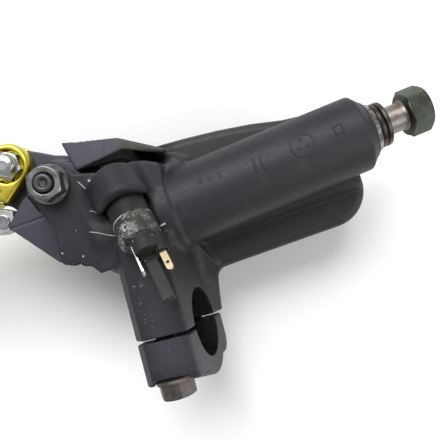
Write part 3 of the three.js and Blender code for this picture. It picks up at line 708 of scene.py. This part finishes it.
# ---- frames that several pieces share ----
BARREL_BASIS = aim(BARREL_AXIS)
SWITCH_BASIS = aim(SWITCH_AXIS)
BAR_BASIS_X = Vector((math.cos(BAR_TILT), 0, math.sin(BAR_TILT)))
BAR_BASIS_Z = Vector((-math.sin(BAR_TILT), 0, math.cos(BAR_TILT))) * math.cos(SPLIT_TILT)
BAR_BASIS_Z += Vector((0, 1, 0)) * math.sin(SPLIT_TILT)
CLAMP_BASIS = Matrix.Rotation(BAR_YAW, 3, "Z") @ Matrix((
    BAR_BASIS_X, BAR_BASIS_Z.cross(BAR_BASIS_X), BAR_BASIS_Z,
)).transposed()


def barrel_place(t):
    return BARREL_ORIGIN + BARREL_AXIS * t


def barrel_space(s, t=0.0):
    return s.within(barrel_place(t), BARREL_BASIS)


def switch_space(s, along=0.0):
    return s.within(SWITCH_MOUTH + SWITCH_AXIS * along, SWITCH_BASIS)


def clamp_space(s):
    return s.within(CLAMP_FACE, CLAMP_BASIS)


def clamp_bolt_space(c, side):
    """Clamp space moved to a bolt's axis, with z from the split towards the arm."""
    return Space(c.z, c.x, c.y).at(side * CLAMP_BOLT_OFFSET, -CLAMP_WIDTH / 2)


def along_bar(c):
    """Clamp space with its z along the handlebar."""
    return Space(c.y, c.z, c.x)


# ---- outlines, in plan unless a comment says otherwise ----
RESERVOIR = [
    *arc(25, -11.1, 13, -90, 0, 12), *arc(22, 1.6, 16, 0, 78, 12),
    (18.5, 18), (7.5, 20.4), (-4.5, 22.2), (-16.5, 23.4),
    *arc(-31.5, 18.4, 6, 88, 180, 8), *arc(-31.5, -18.1, 6, 180, 270, 8),
]
EAR = [
    *arc(PIVOT.x, PIVOT.y, 7.5, 70, 210, 16),
    (-64.9, 11.2), (-62.9, 6.6), (-64, 1.5), (-64.5, -3.8), (-63.6, -5.2), (-62.2, -5.8), (-59.5, -5.5),
    (-58.4, -7.4), (-55.9, -8.4), (-54, -11.2), (-45, -11.4), (-40, 0), (-40, 17), (-51.3, 20.4),
]
HEAD = [
    (-54, -11.2), (-29.6, -9.6), (-25.8, 13.6), (-26.2, 15.2), (-30, 17.2), (-34, 18), (-49, 17.2),
    (-50.5, 12), (-54, 8),
]
WING = [(-51.4, 21.4), (-35.4, 23.2), (-24.6, 18.4), (-22.7, 19.2), (-36.1, 27.4), (-53.4, 31.8)]
WING_WALL = [(-36.2, 24.3), (-35, 24.2), (-24.2, 18.5), (-22.8, 19), (-35.6, 26.9), (-37, 27.2)]
WING_ROOT = [(-27, 19.2), (-22, 12), (-20.4, 16.4), (-22.8, 18.8), (-26, 20.6)]
WING_STEP = [(-26, 12), (-19, 10), (-18.6, 15.2), (-21.4, 17.2), (-22.8, 16.4), (-26, 15.8)]
WEB = [(-51, 19.5), (-40, 16), (-24, 12), (-22, 16), (-35.6, 26.6), (-51.2, 27.6)]
# Seen from the outlet end, as (y, z).
SHOULDER = [(-4, 30), (-14, 30), (-14.2, 32.6), (-11.4, 36.4), (-4, 38)]
GUSSET = [(-31, -6), (-25, -8), (-20.6, -24.3), (-24.6, -38.5), (-31, -38.5)]
# Three points of the gusset's sloping top.
GUSSET_TOP = [Vector((-27, -10.7, 38)), Vector((-21, -24.2, 31.5)), Vector((-25.4, -38.5, 27))]
TONGUE = [
    *arc(PIVOT.x, PIVOT.y, 8.4, -60, 40, 12), (-54.1, 28.6), (-57.9, 30), (-62, 32.4),
    *arc(BLADE_PIVOT.x, BLADE_PIVOT.y, 6.4, 60, 190, 12), (-79, 22), (-79, 14), (-70, 12),
]
WEDGE = [
    (-67.5, 13.6), (-69.8, 19.9), (-71.4, 19.4), (-78.3, 12.9), (-78.8, 11.7), (-77.2, 10.1), (-67.2, -3.6),
    *arc(-61.9, -2.2, 4.3, 215, 360, 12), (-57.4, 1.4), (-58.3, 3.4), (-56.6, 8.7), (-53.5, 13.6),
]
WEDGE_CREASE = 11.6
WEDGE_SLOPE = 0.06
TAIL = [(-52.5, 16.6), (-46, 18.4), (-36.6, 18.2), (-35.8, 19), (-36, 21), (-37, 21.6), (-51.6, 22.6)]
TAIL_START = -51
TAIL_LUG = [(-44.6, 18.3), (-39.4, 18.25), (-39.4, 20.7), (-44.6, 21)]
BLADE = [
    *arc(BLADE_PIVOT.x, BLADE_PIVOT.y, 7.3, 66, -38, 14), (-72.3, 21.9),
    *spline([(-77, 18.3), (-81, 17.2), (-87, 18), (-100, 21.2), (-118, 22.6), (-140, 21.4), (-160, 18.4),
             (-175, 15.6)], 6),
    *arc(-181.5, 20.5, 6.8, -48, -200, 14),
    *spline([(-178, 27), (-165, 29), (-145, 32.2), (-122, 34.4), (-100, 35.8), (-88, 36.8),
             (-76, 38.4)], 6),
]
BLADE_WINDOW = [(-85.5, 22.5), (-80, 21.6), (-76.6, 23.6), (-84, 28.2), (-86.6, 26)]
# Radius and distance along the barrel.
BARREL_PROFILE = [
    (0, BARREL_START), (BARREL_RADIUS - 1, BARREL_START), (BARREL_RADIUS, BARREL_START + 1),
    (BARREL_RADIUS, BARREL_END - 0.6), (BARREL_RADIUS - 0.7, BARREL_END), (10.4, BARREL_END + 1.7),
    (9.9, BARREL_END + 1.9), (9.6, BARREL_END + 2.8), (8.3, BARREL_END + 3.4), (8.1, NECK_END),
    (0, NECK_END),
]


def chamfered(clamp, solid):
    """The broad bevel down the outboard edge of the arm and cap."""
    bevel = (clamp.z - CLAMP_HALF_HEIGHT - clamp.x - CLAMP_WIDTH + 3.4) * math.sqrt(0.5)
    return carve(solid, -bevel, 0.15)


# ---- body casting ----
def wing_shape(s):
    """The guard: a facet that falls away from the head, one that falls to the outlet, and a wall."""
    near_facet = s.z - WING_ROOF - 1.8 + (s.y - 21.5) * 0.17
    far_facet = s.z - WING_ROOF - 1.2 + (s.x + 35.8) * 0.13 + (s.y - 25) * 0.02
    roof = prism(s, WING, WING_ROOF - 1.2, 52, 0.5)
    roof = carve(roof, -np.maximum(near_facet, far_facet) * 0.98, 0.5)
    return join(roof, prism(s, WING_WALL, WALL_FOOT, WING_ROOF + 0.6, 0.3), 0.2)


def switch_boss(switch):
    """The oval boss round the switch, with the lower part of its lip raked back."""
    lip = switch.z + HOOD_RAKE * np.maximum(HOOD_RAKE_START - switch.y, 0)
    boss = rod(Space(switch.x / BOSS_SQUEEZE, switch.y, lip), BOSS_RADIUS, -10, BOSS_RISE, 1.1)
    return boss * BOSS_SQUEEZE * 0.9


def arm_shape(clamp):
    outline = [(-CLAMP_WIDTH, -3), (0, -3), (0, 30), (-CLAMP_WIDTH + 3, 30), (-CLAMP_WIDTH, 26)]
    arm = prism(clamp, outline, -CLAMP_HALF_HEIGHT, CLAMP_HALF_HEIGHT, 0.5)
    return chamfered(clamp, arm)


def gusset_shape(s):
    corner, second, third = GUSSET_TOP
    upward = (second - corner).cross(third - corner).normalized()
    upward *= math.copysign(1, upward.z)
    above = s.x * upward.x + s.y * upward.y + s.z * upward.z - upward.dot(corner)
    return np.maximum(prism(s, GUSSET, 17, 42, 0.6), above)


def casting(s, barrel, clamp, switch):
    """The body before anything is cut out of it."""
    saddle = box(s, (-36, -5.5, RESERVOIR_FLOOR), (33, 9, PIVOT.z - 4))
    solid = join(prism(s, RESERVOIR, -4, RESERVOIR_TOP, 3.2), saddle, 1.5)
    solid = join(solid, lathe(barrel, BARREL_PROFILE), 0.8)
    solid = join(solid, rod(barrel, BARREL_RADIUS + 0.7, -32, -26.6, 0.7), 0.8)
    head = prism(s, HEAD, FAR_EAR[0], HEAD_TOP, 0.6)
    ears = join(prism(s, EAR, *NEAR_EAR, 0.6), prism(s, EAR, *FAR_EAR, 0.6))
    solid = join(solid, join(head, ears, 0.5), 0.9)
    solid = join(solid, prism(s, WING_ROOT, WALL_FOOT, 44, 1), 0.8)
    solid = join(solid, prism(s, WING_STEP, WALL_FOOT, 46, 2), 3)
    solid = join(solid, wing_shape(s), 0.5)
    solid = join(solid, prism(s, WEB, FAR_EAR[0] + 0.5, FAR_EAR[1], 0.3), 0.5)
    solid = join(solid, switch_boss(switch), 2.6)
    solid = join(solid, arm_shape(clamp), 1.8)
    solid = join(solid, gusset_shape(s), 3.5)
    return join(solid, prism(Space(s.y, s.z, s.x), SHOULDER, -24, 36, 0.3), 0.6)


def body_shape(s):
    barrel, clamp, switch = barrel_space(s), clamp_space(s), switch_space(s)
    posts = join(*(rod(s.at(x, y), 4.2, LID_LEDGE, 40) for x, y in LID_SCREWS))
    cavity = carve(prism(s, inset(RESERVOIR, RESERVOIR_WALL), -9, RESERVOIR_FLOOR, 1), posts)
    solid = carve(casting(s, barrel, clamp, switch), cavity)
    solid = carve(solid, prism(s, inset(RESERVOIR, RESERVOIR_WALL / 2), -9, LID_LEDGE))
    solid = np.maximum(solid, LID_THICKNESS + GAP - s.z)
    slot = [
        (-95, -20), (-57.5, -20), (-53.3, -12), (-53.3, 8.5), *arc(PIVOT.x, PIVOT.y, 11.4, -62, 20, 10),
        (-48.5, 45), (-95, 45),
    ]
    solid = carve(solid, prism(s, slot, FAR_EAR[1], NEAR_EAR[0]), 0.4)
    solid = carve(solid, box(s, (-49.6, 14.2, FAR_EAR[1]), (-34, 45, WING_ROOF - 0.1)), 0.3)
    solid = bored(
        solid,
        (barrel, BORE_RADIUS, BARREL_START - 10, BORE_END),
        (barrel, 5.3, BORE_END - 1, 60, 0.5),
        (barrel, 8.8, BARREL_START - 10, BARREL_START + 2.4, 0.5),
        (barrel, 7.9, -50.2, -48.6),
        (on_axis(s, PIVOT), 4.3, 0, 80, 0.3),
        (switch, SWITCH_RADIUS + GAP, -6.2, 34, 0.3),
        (switch, 6.95, -2.2, 37, 0.4),
        (switch, 2.6, -17, -4),
        (along_bar(clamp), BAR_RADIUS, -40, 20, 0.6),
    )
    solid = carve(solid, box(clamp, (-40, -30, -40), (20, CAP_GAP, 40)), 0.5)
    bolts = [(clamp_bolt_space(clamp, side), CLAMP_BOLT_HOLE, -2, 18) for side in (-1, 1)]
    screws = [(s.at(x, y), 2.2, -2, 18) for x, y in LID_SCREWS]
    window = s.within(SIGHT_GLASS, aim((0, 1, 0)))
    return bored(solid, *bolts, *screws, (window, 7, -4, 8, 0.4))


# ---- clamp ----
# Seen along the handlebar, as distances from the split and from the bar's centre.
CAP_SIDE = [
    (0, -CLAMP_HALF_HEIGHT), (0, CLAMP_HALF_HEIGHT), (2 - CAP_DEPTH, CLAMP_HALF_HEIGHT),
    (-CAP_DEPTH, CLAMP_HALF_HEIGHT - 2), *[(-y, z) for y, z in arc(0, 0, 16.6, 38, -38, 20)],
    *arc(6 - CAP_DEPTH, 6 - CLAMP_HALF_HEIGHT, 6, 180, 270, 8),
]


def cap_shape(s):
    clamp = clamp_space(s)
    bar = along_bar(clamp)
    solid = prism(Space(clamp.y + CAP_GAP, clamp.z, clamp.x), CAP_SIDE, -CLAMP_WIDTH, 0, 0.7)
    solid = chamfered(clamp, np.maximum(solid, clamp.y + CAP_GAP))
    solid = carve(solid, rod(bar, BAR_RADIUS, -40, 20), 0.6)
    for side in (-1, 1):
        bolt = clamp_bolt_space(clamp, side)
        head_room = (bolt, 6.4, -40, 5.9 - CLAMP_BOLT_HEAD, 0.4)
        solid = bored(solid, (bolt, CLAMP_BOLT_HOLE, -30, 10), head_room)
    return solid


def clamp_bolt_shape(side):
    def shape(s):
        bolt = clamp_bolt_space(clamp_space(s), side).at(0, 0, -CLAMP_BOLT_HEAD)
        solid = hexagon(bolt, M6_HEX, 0, 5.6, chamfer_low=True, chamfer_high=False)
        solid = join(solid, rod(bolt, 5.9, 4.4, 5.8, 0.4), 0.4)
        return join(solid, thread(bolt, M6_THREAD, 5, 25, 1.0, 0.5))
    return shape


def barrel_skin(s, t, degrees):
    """Coordinates on the barrel's skin: x along it, y round it and z out of it, from one spot."""
    sideways = UP.cross(BARREL_AXIS)
    turn = math.radians(degrees)
    outward = UP * math.cos(turn) + sideways * math.sin(turn)
    basis = Matrix((BARREL_AXIS, outward.cross(BARREL_AXIS), outward)).transposed()
    local = s.within(barrel_place(t), basis)
    round_skin = BARREL_RADIUS * np.arctan2(local.y, local.z)
    return Space(local.x, round_skin, np.hypot(local.y, local.z) - BARREL_RADIUS)


def stroke(s, a, b, width):
    (ax, ay), (bx, by) = a, b
    ex, ey = bx - ax, by - ay
    share = np.clip(((s.x - ax) * ex + (s.y - ay) * ey) / max(1e-9, ex * ex + ey * ey), 0, 1)
    return np.hypot(s.x - ax - ex * share, s.y - ay - ey * share) - width / 2


def barrel_marks(s):
    """Plain cast marks along the barrel: three dots, two bars, a dial ring and a small square."""
    flat = []
    for t, degrees in ((-15.6, 20.9), (-12.4, 18.9), (-9.3, 17.0)):
        dot = barrel_skin(s, t, degrees)
        flat.append((stroke(dot, (0, -0.5), (0, 0.5), 0.9), dot.z))
    bars = barrel_skin(s, 2.8, 11.5)
    for x in (-1.1, 1.1):
        flat.append((stroke(bars, (x, -1.9), (x, 1.9), 0.65), bars.z))
    dial = barrel_skin(s, 17.6, 12.2)
    radius = np.hypot(dial.x, dial.y)
    flat.append((np.abs(radius - 3.7) - 0.35, dial.z))
    for degrees in (90, 210, 330):
        x, y = 1.7 * math.cos(math.radians(degrees)), 1.7 * math.sin(math.radians(degrees))
        flat.append((stroke(dial, (x, y), (x, y), 1.0), dial.z))
    square = barrel_skin(s, 29.6, 13.3)
    flat.append((np.abs(np.maximum(np.abs(square.x), np.abs(square.y)) - 1.4) - 0.25, square.z))
    return np.minimum.reduce([slab(outline, height, -0.5, 0.22, 0.12) for outline, height in flat])


def second_finish(made, material, chosen):
    """Gives another finish to the faces whose centre, in millimetres, passes the test."""
    made.data.materials.append(material)
    centres = np.empty(3 * len(made.data.polygons), np.float32)
    made.data.polygons.foreach_get("center", centres)
    x, y, z = centres.reshape(-1, 3).T / MM
    made.data.polygons.foreach_set("material_index", chosen(Space(x, y, z)).astype(np.int32))


def bar_bore(s):
    bar = along_bar(clamp_space(s))
    return np.hypot(bar.x, bar.y) < BAR_RADIUS + 0.35


def pocket_or_bore(s):
    """Faces in the pocket between the head and the wing, or in the handlebar's bore, that are given painted
    shade.
    """
    behind_wall = s.y - 27.2 + (s.x + 37) * 0.648 < -0.75
    beside_head = (s.x > -50.5) & (s.x < -24.4) & (s.y > 15)
    below_roof = (s.z > FAR_EAR[1] - 1) & (s.z < WING_ROOF - 0.4)
    return (beside_head & behind_wall & below_roof) | bar_bore(s)


body = sculpt("master_body", body_shape, 0.42, "cast_black", PAINT, 170000)
# the pocket under the wing and the bar bore get the near-black finish as painted shade
second_finish(body, SHADE_GREASE, pocket_or_bore)
marks = meshed("barrel_marks", barrel_marks, (-18, 0, 52), (34, 12, 55.2), 0.14, 30000)
place(marks, "master_body", PAINT, False)
cap = sculpt("clamp_cap", cap_shape, 0.32, "cast_black", PAINT, 40000)
# the bar bore gets the near-black finish as painted shade
second_finish(cap, SHADE_GREASE, bar_bore)
for node, side in (("clamp_bolt_lower", 1), ("clamp_bolt_upper", -1)):
    bolt = sculpt(node, clamp_bolt_shape(side), 0.2, "dark_steel", RUSTY, 24000)
    # the shanks below the heads, seen in the gap between arm and cap, get the near-black finish as painted
    # shade
    second_finish(bolt, SHADE_GREASE, lambda s: clamp_space(s).y > 6.2 - CLAMP_BOLT_HEAD)


# ---- outlet ----
def banjo_shape(s):
    bolt = barrel_space(s, BANJO_HEAD)
    head = hexagon(bolt, BANJO_HEX, 0, 7)
    solid = join(head, rod(bolt, 7.2, -0.4, 0.6, 0.3), 0.3)
    solid = join(solid, rod(bolt, 4.7, -12, 1, 0.2), 0.9)
    solid = join(solid, thread(bolt, 4.85, -21.5, -8.6, 1.25, 0.6))
    return carve(solid, rod(bolt, 2.1, -30, -7))


def washer_shape(t):
    return lambda s: carve(
        rod(barrel_space(s, t), 7.5, 0, WASHER_THICKNESS, 0.35), rod(barrel_space(s, t), 5.2, -3, 6), 0.3,
    )


banjo = sculpt("banjo_bolt", banjo_shape, 0.2, "dark_steel", OLIVE, 50000)
second_finish(banjo, SHANK, lambda s: barrel_space(s, BANJO_HEAD).z < -0.6)
INNER_WASHER = NECK_END + GAP
OUTER_WASHER = INNER_WASHER + WASHER_THICKNESS + GAP
sculpt("crush_washer_inner", washer_shape(INNER_WASHER), 0.16, "dark_steel", DARK_COPPER, 16000)
sculpt("crush_washer_outer", washer_shape(OUTER_WASHER), 0.16, "dark_steel", DARK_WASHER, 16000)


# ---- lever ----
def base_shape(s):
    hub = rod(on_axis(s, PIVOT), 8.4, *BASE_Z, 0.5)
    solid = join(hub, prism(s, TONGUE, *TONGUE_Z, 0.4), 0.5)
    facet = (s.z - BASE_Z[1]) * math.cos(WEDGE_SLOPE) + (WEDGE_CREASE - s.y) * math.sin(WEDGE_SLOPE)
    groove = np.hypot(s.y - WEDGE_CREASE, s.z - BASE_Z[1] - 0.1) - 0.42
    wedge = carve(np.maximum(prism(s, WEDGE, *BASE_Z, 0.5), facet), groove)
    solid = join(solid, wedge, 0.6)
    solid = join(solid, prism(s, TAIL, 38, 46.8, 0.5), 0.8)
    solid = join(solid, prism(s, TAIL_LUG, 44, 48.4, 0.4), 0.4)
    lug = [*arc(CAM_AXIS.x, CAM_AXIS.y, 3, 60, 250, 12), (-76, 11.6), (-74.5, 15.5)]
    solid = join(solid, prism(s, lug, BASE_Z[0], BASE_Z[0] + CAM_WALL, 0.2), 0.3)
    return bored(
        solid,
        (on_axis(s, PIVOT), 5.7, 30, 60),
        (on_axis(s, BLADE_PIVOT), BLADE_HOLE, 30, 60),
        (on_axis(s, CAM_AXIS), 5.2, BASE_Z[0] + CAM_WALL, BASE_Z[1] - CAM_WALL, 0.3),
        (on_axis(s, CAM_AXIS), CAM_HOLE, 30, 60),
    )


def blade_shape(s):
    rounder = np.clip((-86 - s.x) / 22, 0, 1)
    rounding = 1.2 + 3.4 * rounder * rounder * (3 - 2 * rounder)
    solid = slab(polygon(s.x, s.y, BLADE), s.z, *BLADE_Z, rounding)
    slot = [(-60, 8), (-60, 45), (-75, 45), (-80.5, 36), (-80.5, 8)]
    low, high = TONGUE_Z
    solid = carve(solid, prism(s, slot, low - GAP, high + GAP), 0.3)
    solid = carve(solid, prism(s, BLADE_WINDOW, 20, 60), 0.6)
    hole = on_axis(s, BLADE_PIVOT)
    nut_room = (hole, 5.4, BLADE_Z[1] - 3.1, 65, 0.5)
    return bored(solid, (hole, BLADE_HOLE, 25, 65), nut_room, (on_axis(s, CAM_AXIS), 6.3, 25, 65, 0.5))


def pivot_nut_shape(s):
    nut = on_axis(s, PIVOT, NEAR_EAR[1] + GAP)
    flange = lathe(nut, [(0, 0), (6.2, 0), (6.3, 0.5), (6.1, 0.9), (5.2, 1.7), (0, 1.7)])
    solid = join(flange, hexagon(nut.turned(-0.2), M6_HEX, 0, 5.8), 0.25)
    return carve(solid, rod(nut, 3.2, -2, 9), 0.4)


def pivot_bolt_shape(s):
    bolt = on_axis(s, PIVOT, 25.2)
    head = hexagon(bolt, M6_HEX, 0, 4, chamfer_low=True, chamfer_high=False)
    solid = join(head, rod(bolt, 6.8, 3.4, 5, 0.4), 0.3)
    solid = join(solid, rod(bolt, 4, 5, 28.4, 0.3))
    solid = join(solid, thread(bolt, M6_THREAD, 27, 35.2, 1.0, 0.45))
    return carve(solid, rod(bolt, 1.1, 34.4, 40), 0.8)


def blade_bolt_shape(s):
    bolt = on_axis(s, BLADE_PIVOT, 31.3)
    head = lathe(bolt, [(0, 0), (3.2, 0), (4.5, 0.7), (5, 1.8), (5, 3.2), (0, 3.2)])
    head = carve(head, hexagon(bolt, 4, -2, 1.8, chamfer_high=False))
    return join(head, rod(bolt, 2.9, 3, 18.4, 0.3))


def blade_nut_shape(s):
    nut = on_axis(s, BLADE_PIVOT, BLADE_Z[1] - 2.8)
    dome = lathe(nut, [(0, 0), (3.9, 0), (3.9, 3.6), (3.6, 4.6), (2.9, 5.3), (1.6, 5.6), (0, 5.6)])
    solid = join(hexagon(nut, 8.6, 0, 3.4), dome, 0.3)
    return carve(solid, rod(nut, 3.2, -1, 3.6))


def cam_shape(s):
    cam = on_axis(s, CAM_AXIS, BASE_Z[0] + 1.5)
    solid = rod(cam, 4.5, 0, BASE_Z[1] - BASE_Z[0] - 3, 0.3)
    for i in range(5):
        turned = cam.turned(math.radians(i * 72 + 60))
        solid = np.maximum(solid, turned.x - (3.9 - 0.1 * i))
    return carve(solid, rod(cam, CAM_HOLE, -5, 20), 0.2)


def pin_shape(s):
    pin = on_axis(s, CAM_AXIS, BASE_Z[0] - 1.1)
    heads = join(rod(pin, 2, 0, 0.8, 0.3), rod(pin, 2.3, 9.8, 10.5, 0.3))
    return join(rod(pin, 1.4, 0, 10.4, 0.25), heads, 0.1)


lever_base = sculpt("lever_base", base_shape, 0.25, "black_anodised", BLACK_ANODISED, 60000)
# the tail under the wing gets the near-black finish as painted shade
second_finish(lever_base, SHADE_GREASE, lambda s: s.x > TAIL_START)
sculpt("lever_blade", blade_shape, 0.36, "gold_anodised", GOLD, 70000)
sculpt("pivot_nut", pivot_nut_shape, 0.14, "zinc_steel", ZINC, 24000)
pivot_bolt = sculpt("pivot_bolt", pivot_bolt_shape, 0.2, "zinc_steel", ZINC, 30000)
second_finish(pivot_bolt, DARK_ZINC, lambda s: s.z > NEAR_EAR[1])
sculpt("blade_bolt", blade_bolt_shape, 0.18, *STEEL, 16000)
sculpt("blade_nut", blade_nut_shape, 0.12, *STEEL, 24000)
sculpt("adjuster_cam", cam_shape, 0.14, "cam_alloy", CLEAR_ANODISED, 16000)
sculpt("adjuster_pin", pin_shape, 0.14, *STEEL, 8000)


# ---- brake light switch ----
def switch_shape(s):
    sw = switch_space(s)
    profile = [
        (0, -5.7), (5.7, -5.7), (6.1, -5.2), (6.1, SWITCH_COLLAR - 0.4), (SWITCH_RADIUS, SWITCH_COLLAR),
        (SWITCH_RADIUS, 12.9), (5.8, 13.6), (0, 13.6),
    ]
    solid = lathe(sw, profile)
    nose = np.maximum(rod(sw, 5, 13.4, 18.6, 0.4), -3.4 - sw.x)
    nose = join(nose, rod(sw.at(3.9, 0.8), 2, 13.4, 19.8, 0.3), 0.3)
    solid = join(solid, nose, 0.2)
    solid = join(solid, box(sw, (-1.8, -3, 16), (1.9, -0.6, 33), 0.3), 0.2)
    solid = carve(solid, rod(sw, 2.5, -6, 6))
    solid = carve(solid, box(sw, (-4, -1.1, 14.4), (-2.6, 2.7, 26.4)))
    return carve(solid, box(sw, (2.5, 0.1, 16), (5.3, 1.5, 28)))


def terminal_shape(x, half_width, upright, start):
    def shape(s):
        sw = switch_space(s, start).at(x, 0.8)
        if upright:
            sw = Space(sw.y, -sw.x, sw.z)
        tip = arc(0, 9.6 - half_width, half_width, 0, 180, 12)
        outline = [(-half_width, 0), (half_width, 0), *tip]
        solid = slab(polygon(sw.x, sw.z, outline), sw.y, -0.4, 0.4, 0.12)
        return carve(solid, np.sqrt(sw.x ** 2 + (sw.z - 7) ** 2) - 0.45)
    return shape


sculpt("switch_body", switch_shape, 0.2, "plastic_black", SCUFFED, 60000)
sculpt("switch_terminal_outer", terminal_shape(-3.3, 1.6, True, 15), 0.1, *STEEL, 12000)
sculpt("switch_terminal_inner", terminal_shape(3.9, 1.1, False, 16.6), 0.1, "brass", BRASS, 12000)


# ---- reservoir ----
def lid_shape(s):
    solid = prism(s, RESERVOIR, 0, LID_THICKNESS, 0.5)
    countersink = [(0, -3), (4.3, -3), (4.3, 0.4), (2.3, 2.9), (2.3, 8), (0, 8)]
    for x, y in LID_SCREWS:
        solid = carve(solid, lathe(s.at(x, y), countersink))
    return solid


def lid_screw_shape(x, y):
    def shape(s):
        screw = s.at(x, y)
        solid = lathe(screw, [(0, 0.2), (3.9, 0.2), (3.9, 0.5), (1.9, 2.9), (1.9, 4), (0, 4)])
        solid = join(solid, thread(screw, 1.95, 3.8, 18, 0.7, 0.3))
        for part in (screw, screw.turned(math.pi / 2)):
            solid = carve(solid, box(part, (-2.2, -0.5, -1), (2.2, 0.5, 1.4)))
        return solid
    return shape


sculpt("reservoir_lid", lid_shape, 0.4, "lid_black", LID, 40000)
for node, spot in zip(("lid_screw_outer", "lid_screw_inner"), LID_SCREWS):
    sculpt(node, lid_screw_shape(*spot), 0.18, *STEEL, 12000)


# ---- the return spring and the dust boot, copied from their CAD nodes ----
def squashed(node, slot, material, anchor_t, keep):
    """The node's own shape, copied as a separate piece with a new finish, standing in for the node."""
    source = frame["nodes"][node]
    mesh = source.data.copy()
    mesh.transform(source.matrix_world)
    mesh.materials.clear()
    made = place(new_object(node + "_soft", mesh), node, material)
    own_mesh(made)


squashed("return_spring", *STEEL, 26.4, 0.82)
squashed("dust_boot", "rubber", RUBBER, -50.8, 0.12)


# ---- CAD nodes kept as they are, with their own finishes ----
KEPT = [
    (*STEEL, "splash_baffle", "piston_washer", "circlip", "switch_spring"),
    ("rubber", RUBBER, "diaphragm", "sight_glass_seal", "primary_cup", "secondary_cup"),
    ("plastic_black", PLASTIC, "diaphragm_plate", "switch_plunger"),
    ("sight_glass", GLASS, "sight_glass"),
    ("piston_alloy", CLEAR_ANODISED, "piston"),
    ("brass", BRASS, "pivot_bush"),
]
for slot_name, material, *nodes in KEPT:
    for node in nodes:
        kept = frame["nodes"][node]
        for material_slot in kept.material_slots:
            material_slot.material = material


# ---- floor, light and camera ----
FLOOR_HALF_SIDE = 3000.0
FLOOR_DROP = 0.2
CAMERA_PLACE = Vector((-14, -8, 207))
CAMERA_TURN = math.radians(-19.5)
CAMERA_LENS = 40.9


def floor():
    n = Nodes("pale_floor")
    tone = n.mix(n.noise(3, 3), (0.86, 0.865, 0.86), grey(0.90))
    rough = n.remap(n.noise(8, 3), 0.3, 0.7, 0.5, 0.6)
    material = n.finish(color=tone, rough=rough, normal=n.bump(n.noise(700, 3), 0.02, 0.3))
    side = FLOOR_HALF_SIDE
    corners = [(-side, -side, 0), (side, -side, 0), (side, side, 0), (-side, side, 0)]
    made = mesh_object("floor", corners, [(0, 1, 2, 3)])
    made.location.z = -FLOOR_DROP * MM
    made.data.materials.append(material)


def lamp(name, kind, where, power, tint, **shape):
    """A light at a place in metres, turned towards the part."""
    data = bpy.data.lights.new(name, kind)
    data.energy = power
    data.color = tint
    for key, value in shape.items():
        setattr(data, key, value)
    made = new_object(name, data)
    made.location = where
    part = Vector((-0.02, 0, 0.03))
    made.rotation_euler = (part - Vector(where)).to_track_quat("-Z", "Y").to_euler()


def studio():
    """A broad key from beyond the lever side, a weak fill from the outlet side and a pale room."""
    lamp("key", "SUN", (0.0, 0.75, 0.95), 3.1, (0.97, 0.985, 1.0), angle=math.radians(38))
    lamp("fill", "AREA", (0.75, -0.55, 0.75), 7, (1.0, 0.995, 0.98), shape="DISK", size=0.9)
    world = bpy.data.worlds.new("studio")
    bpy.context.scene.world = world
    bpy.context.scene.view_settings.view_transform = "Standard"
    world.use_nodes = True
    tree = world.node_tree
    seen = tree.nodes.new("ShaderNodeLightPath").outputs["Is Camera Ray"]
    strength = tree.nodes.new("ShaderNodeMapRange")
    strength.inputs["To Min"].default_value = 0.34
    strength.inputs["To Max"].default_value = 0.92
    tree.links.new(seen, strength.inputs["Value"])
    background = tree.nodes["Background"]
    background.inputs["Color"].default_value = (0.96, 0.98, 1.0, 1)
    tree.links.new(strength.outputs[0], background.inputs["Strength"])


def camera():
    data = bpy.data.cameras.new("camera")
    data.sensor_width = 36
    data.lens = CAMERA_LENS
    data.clip_start = 0.005
    made = new_object("camera", data)
    made.location = CAMERA_PLACE * MM
    made.rotation_euler = (0, 0, CAMERA_TURN)
    bpy.context.scene.camera = made


floor()
studio()
camera()
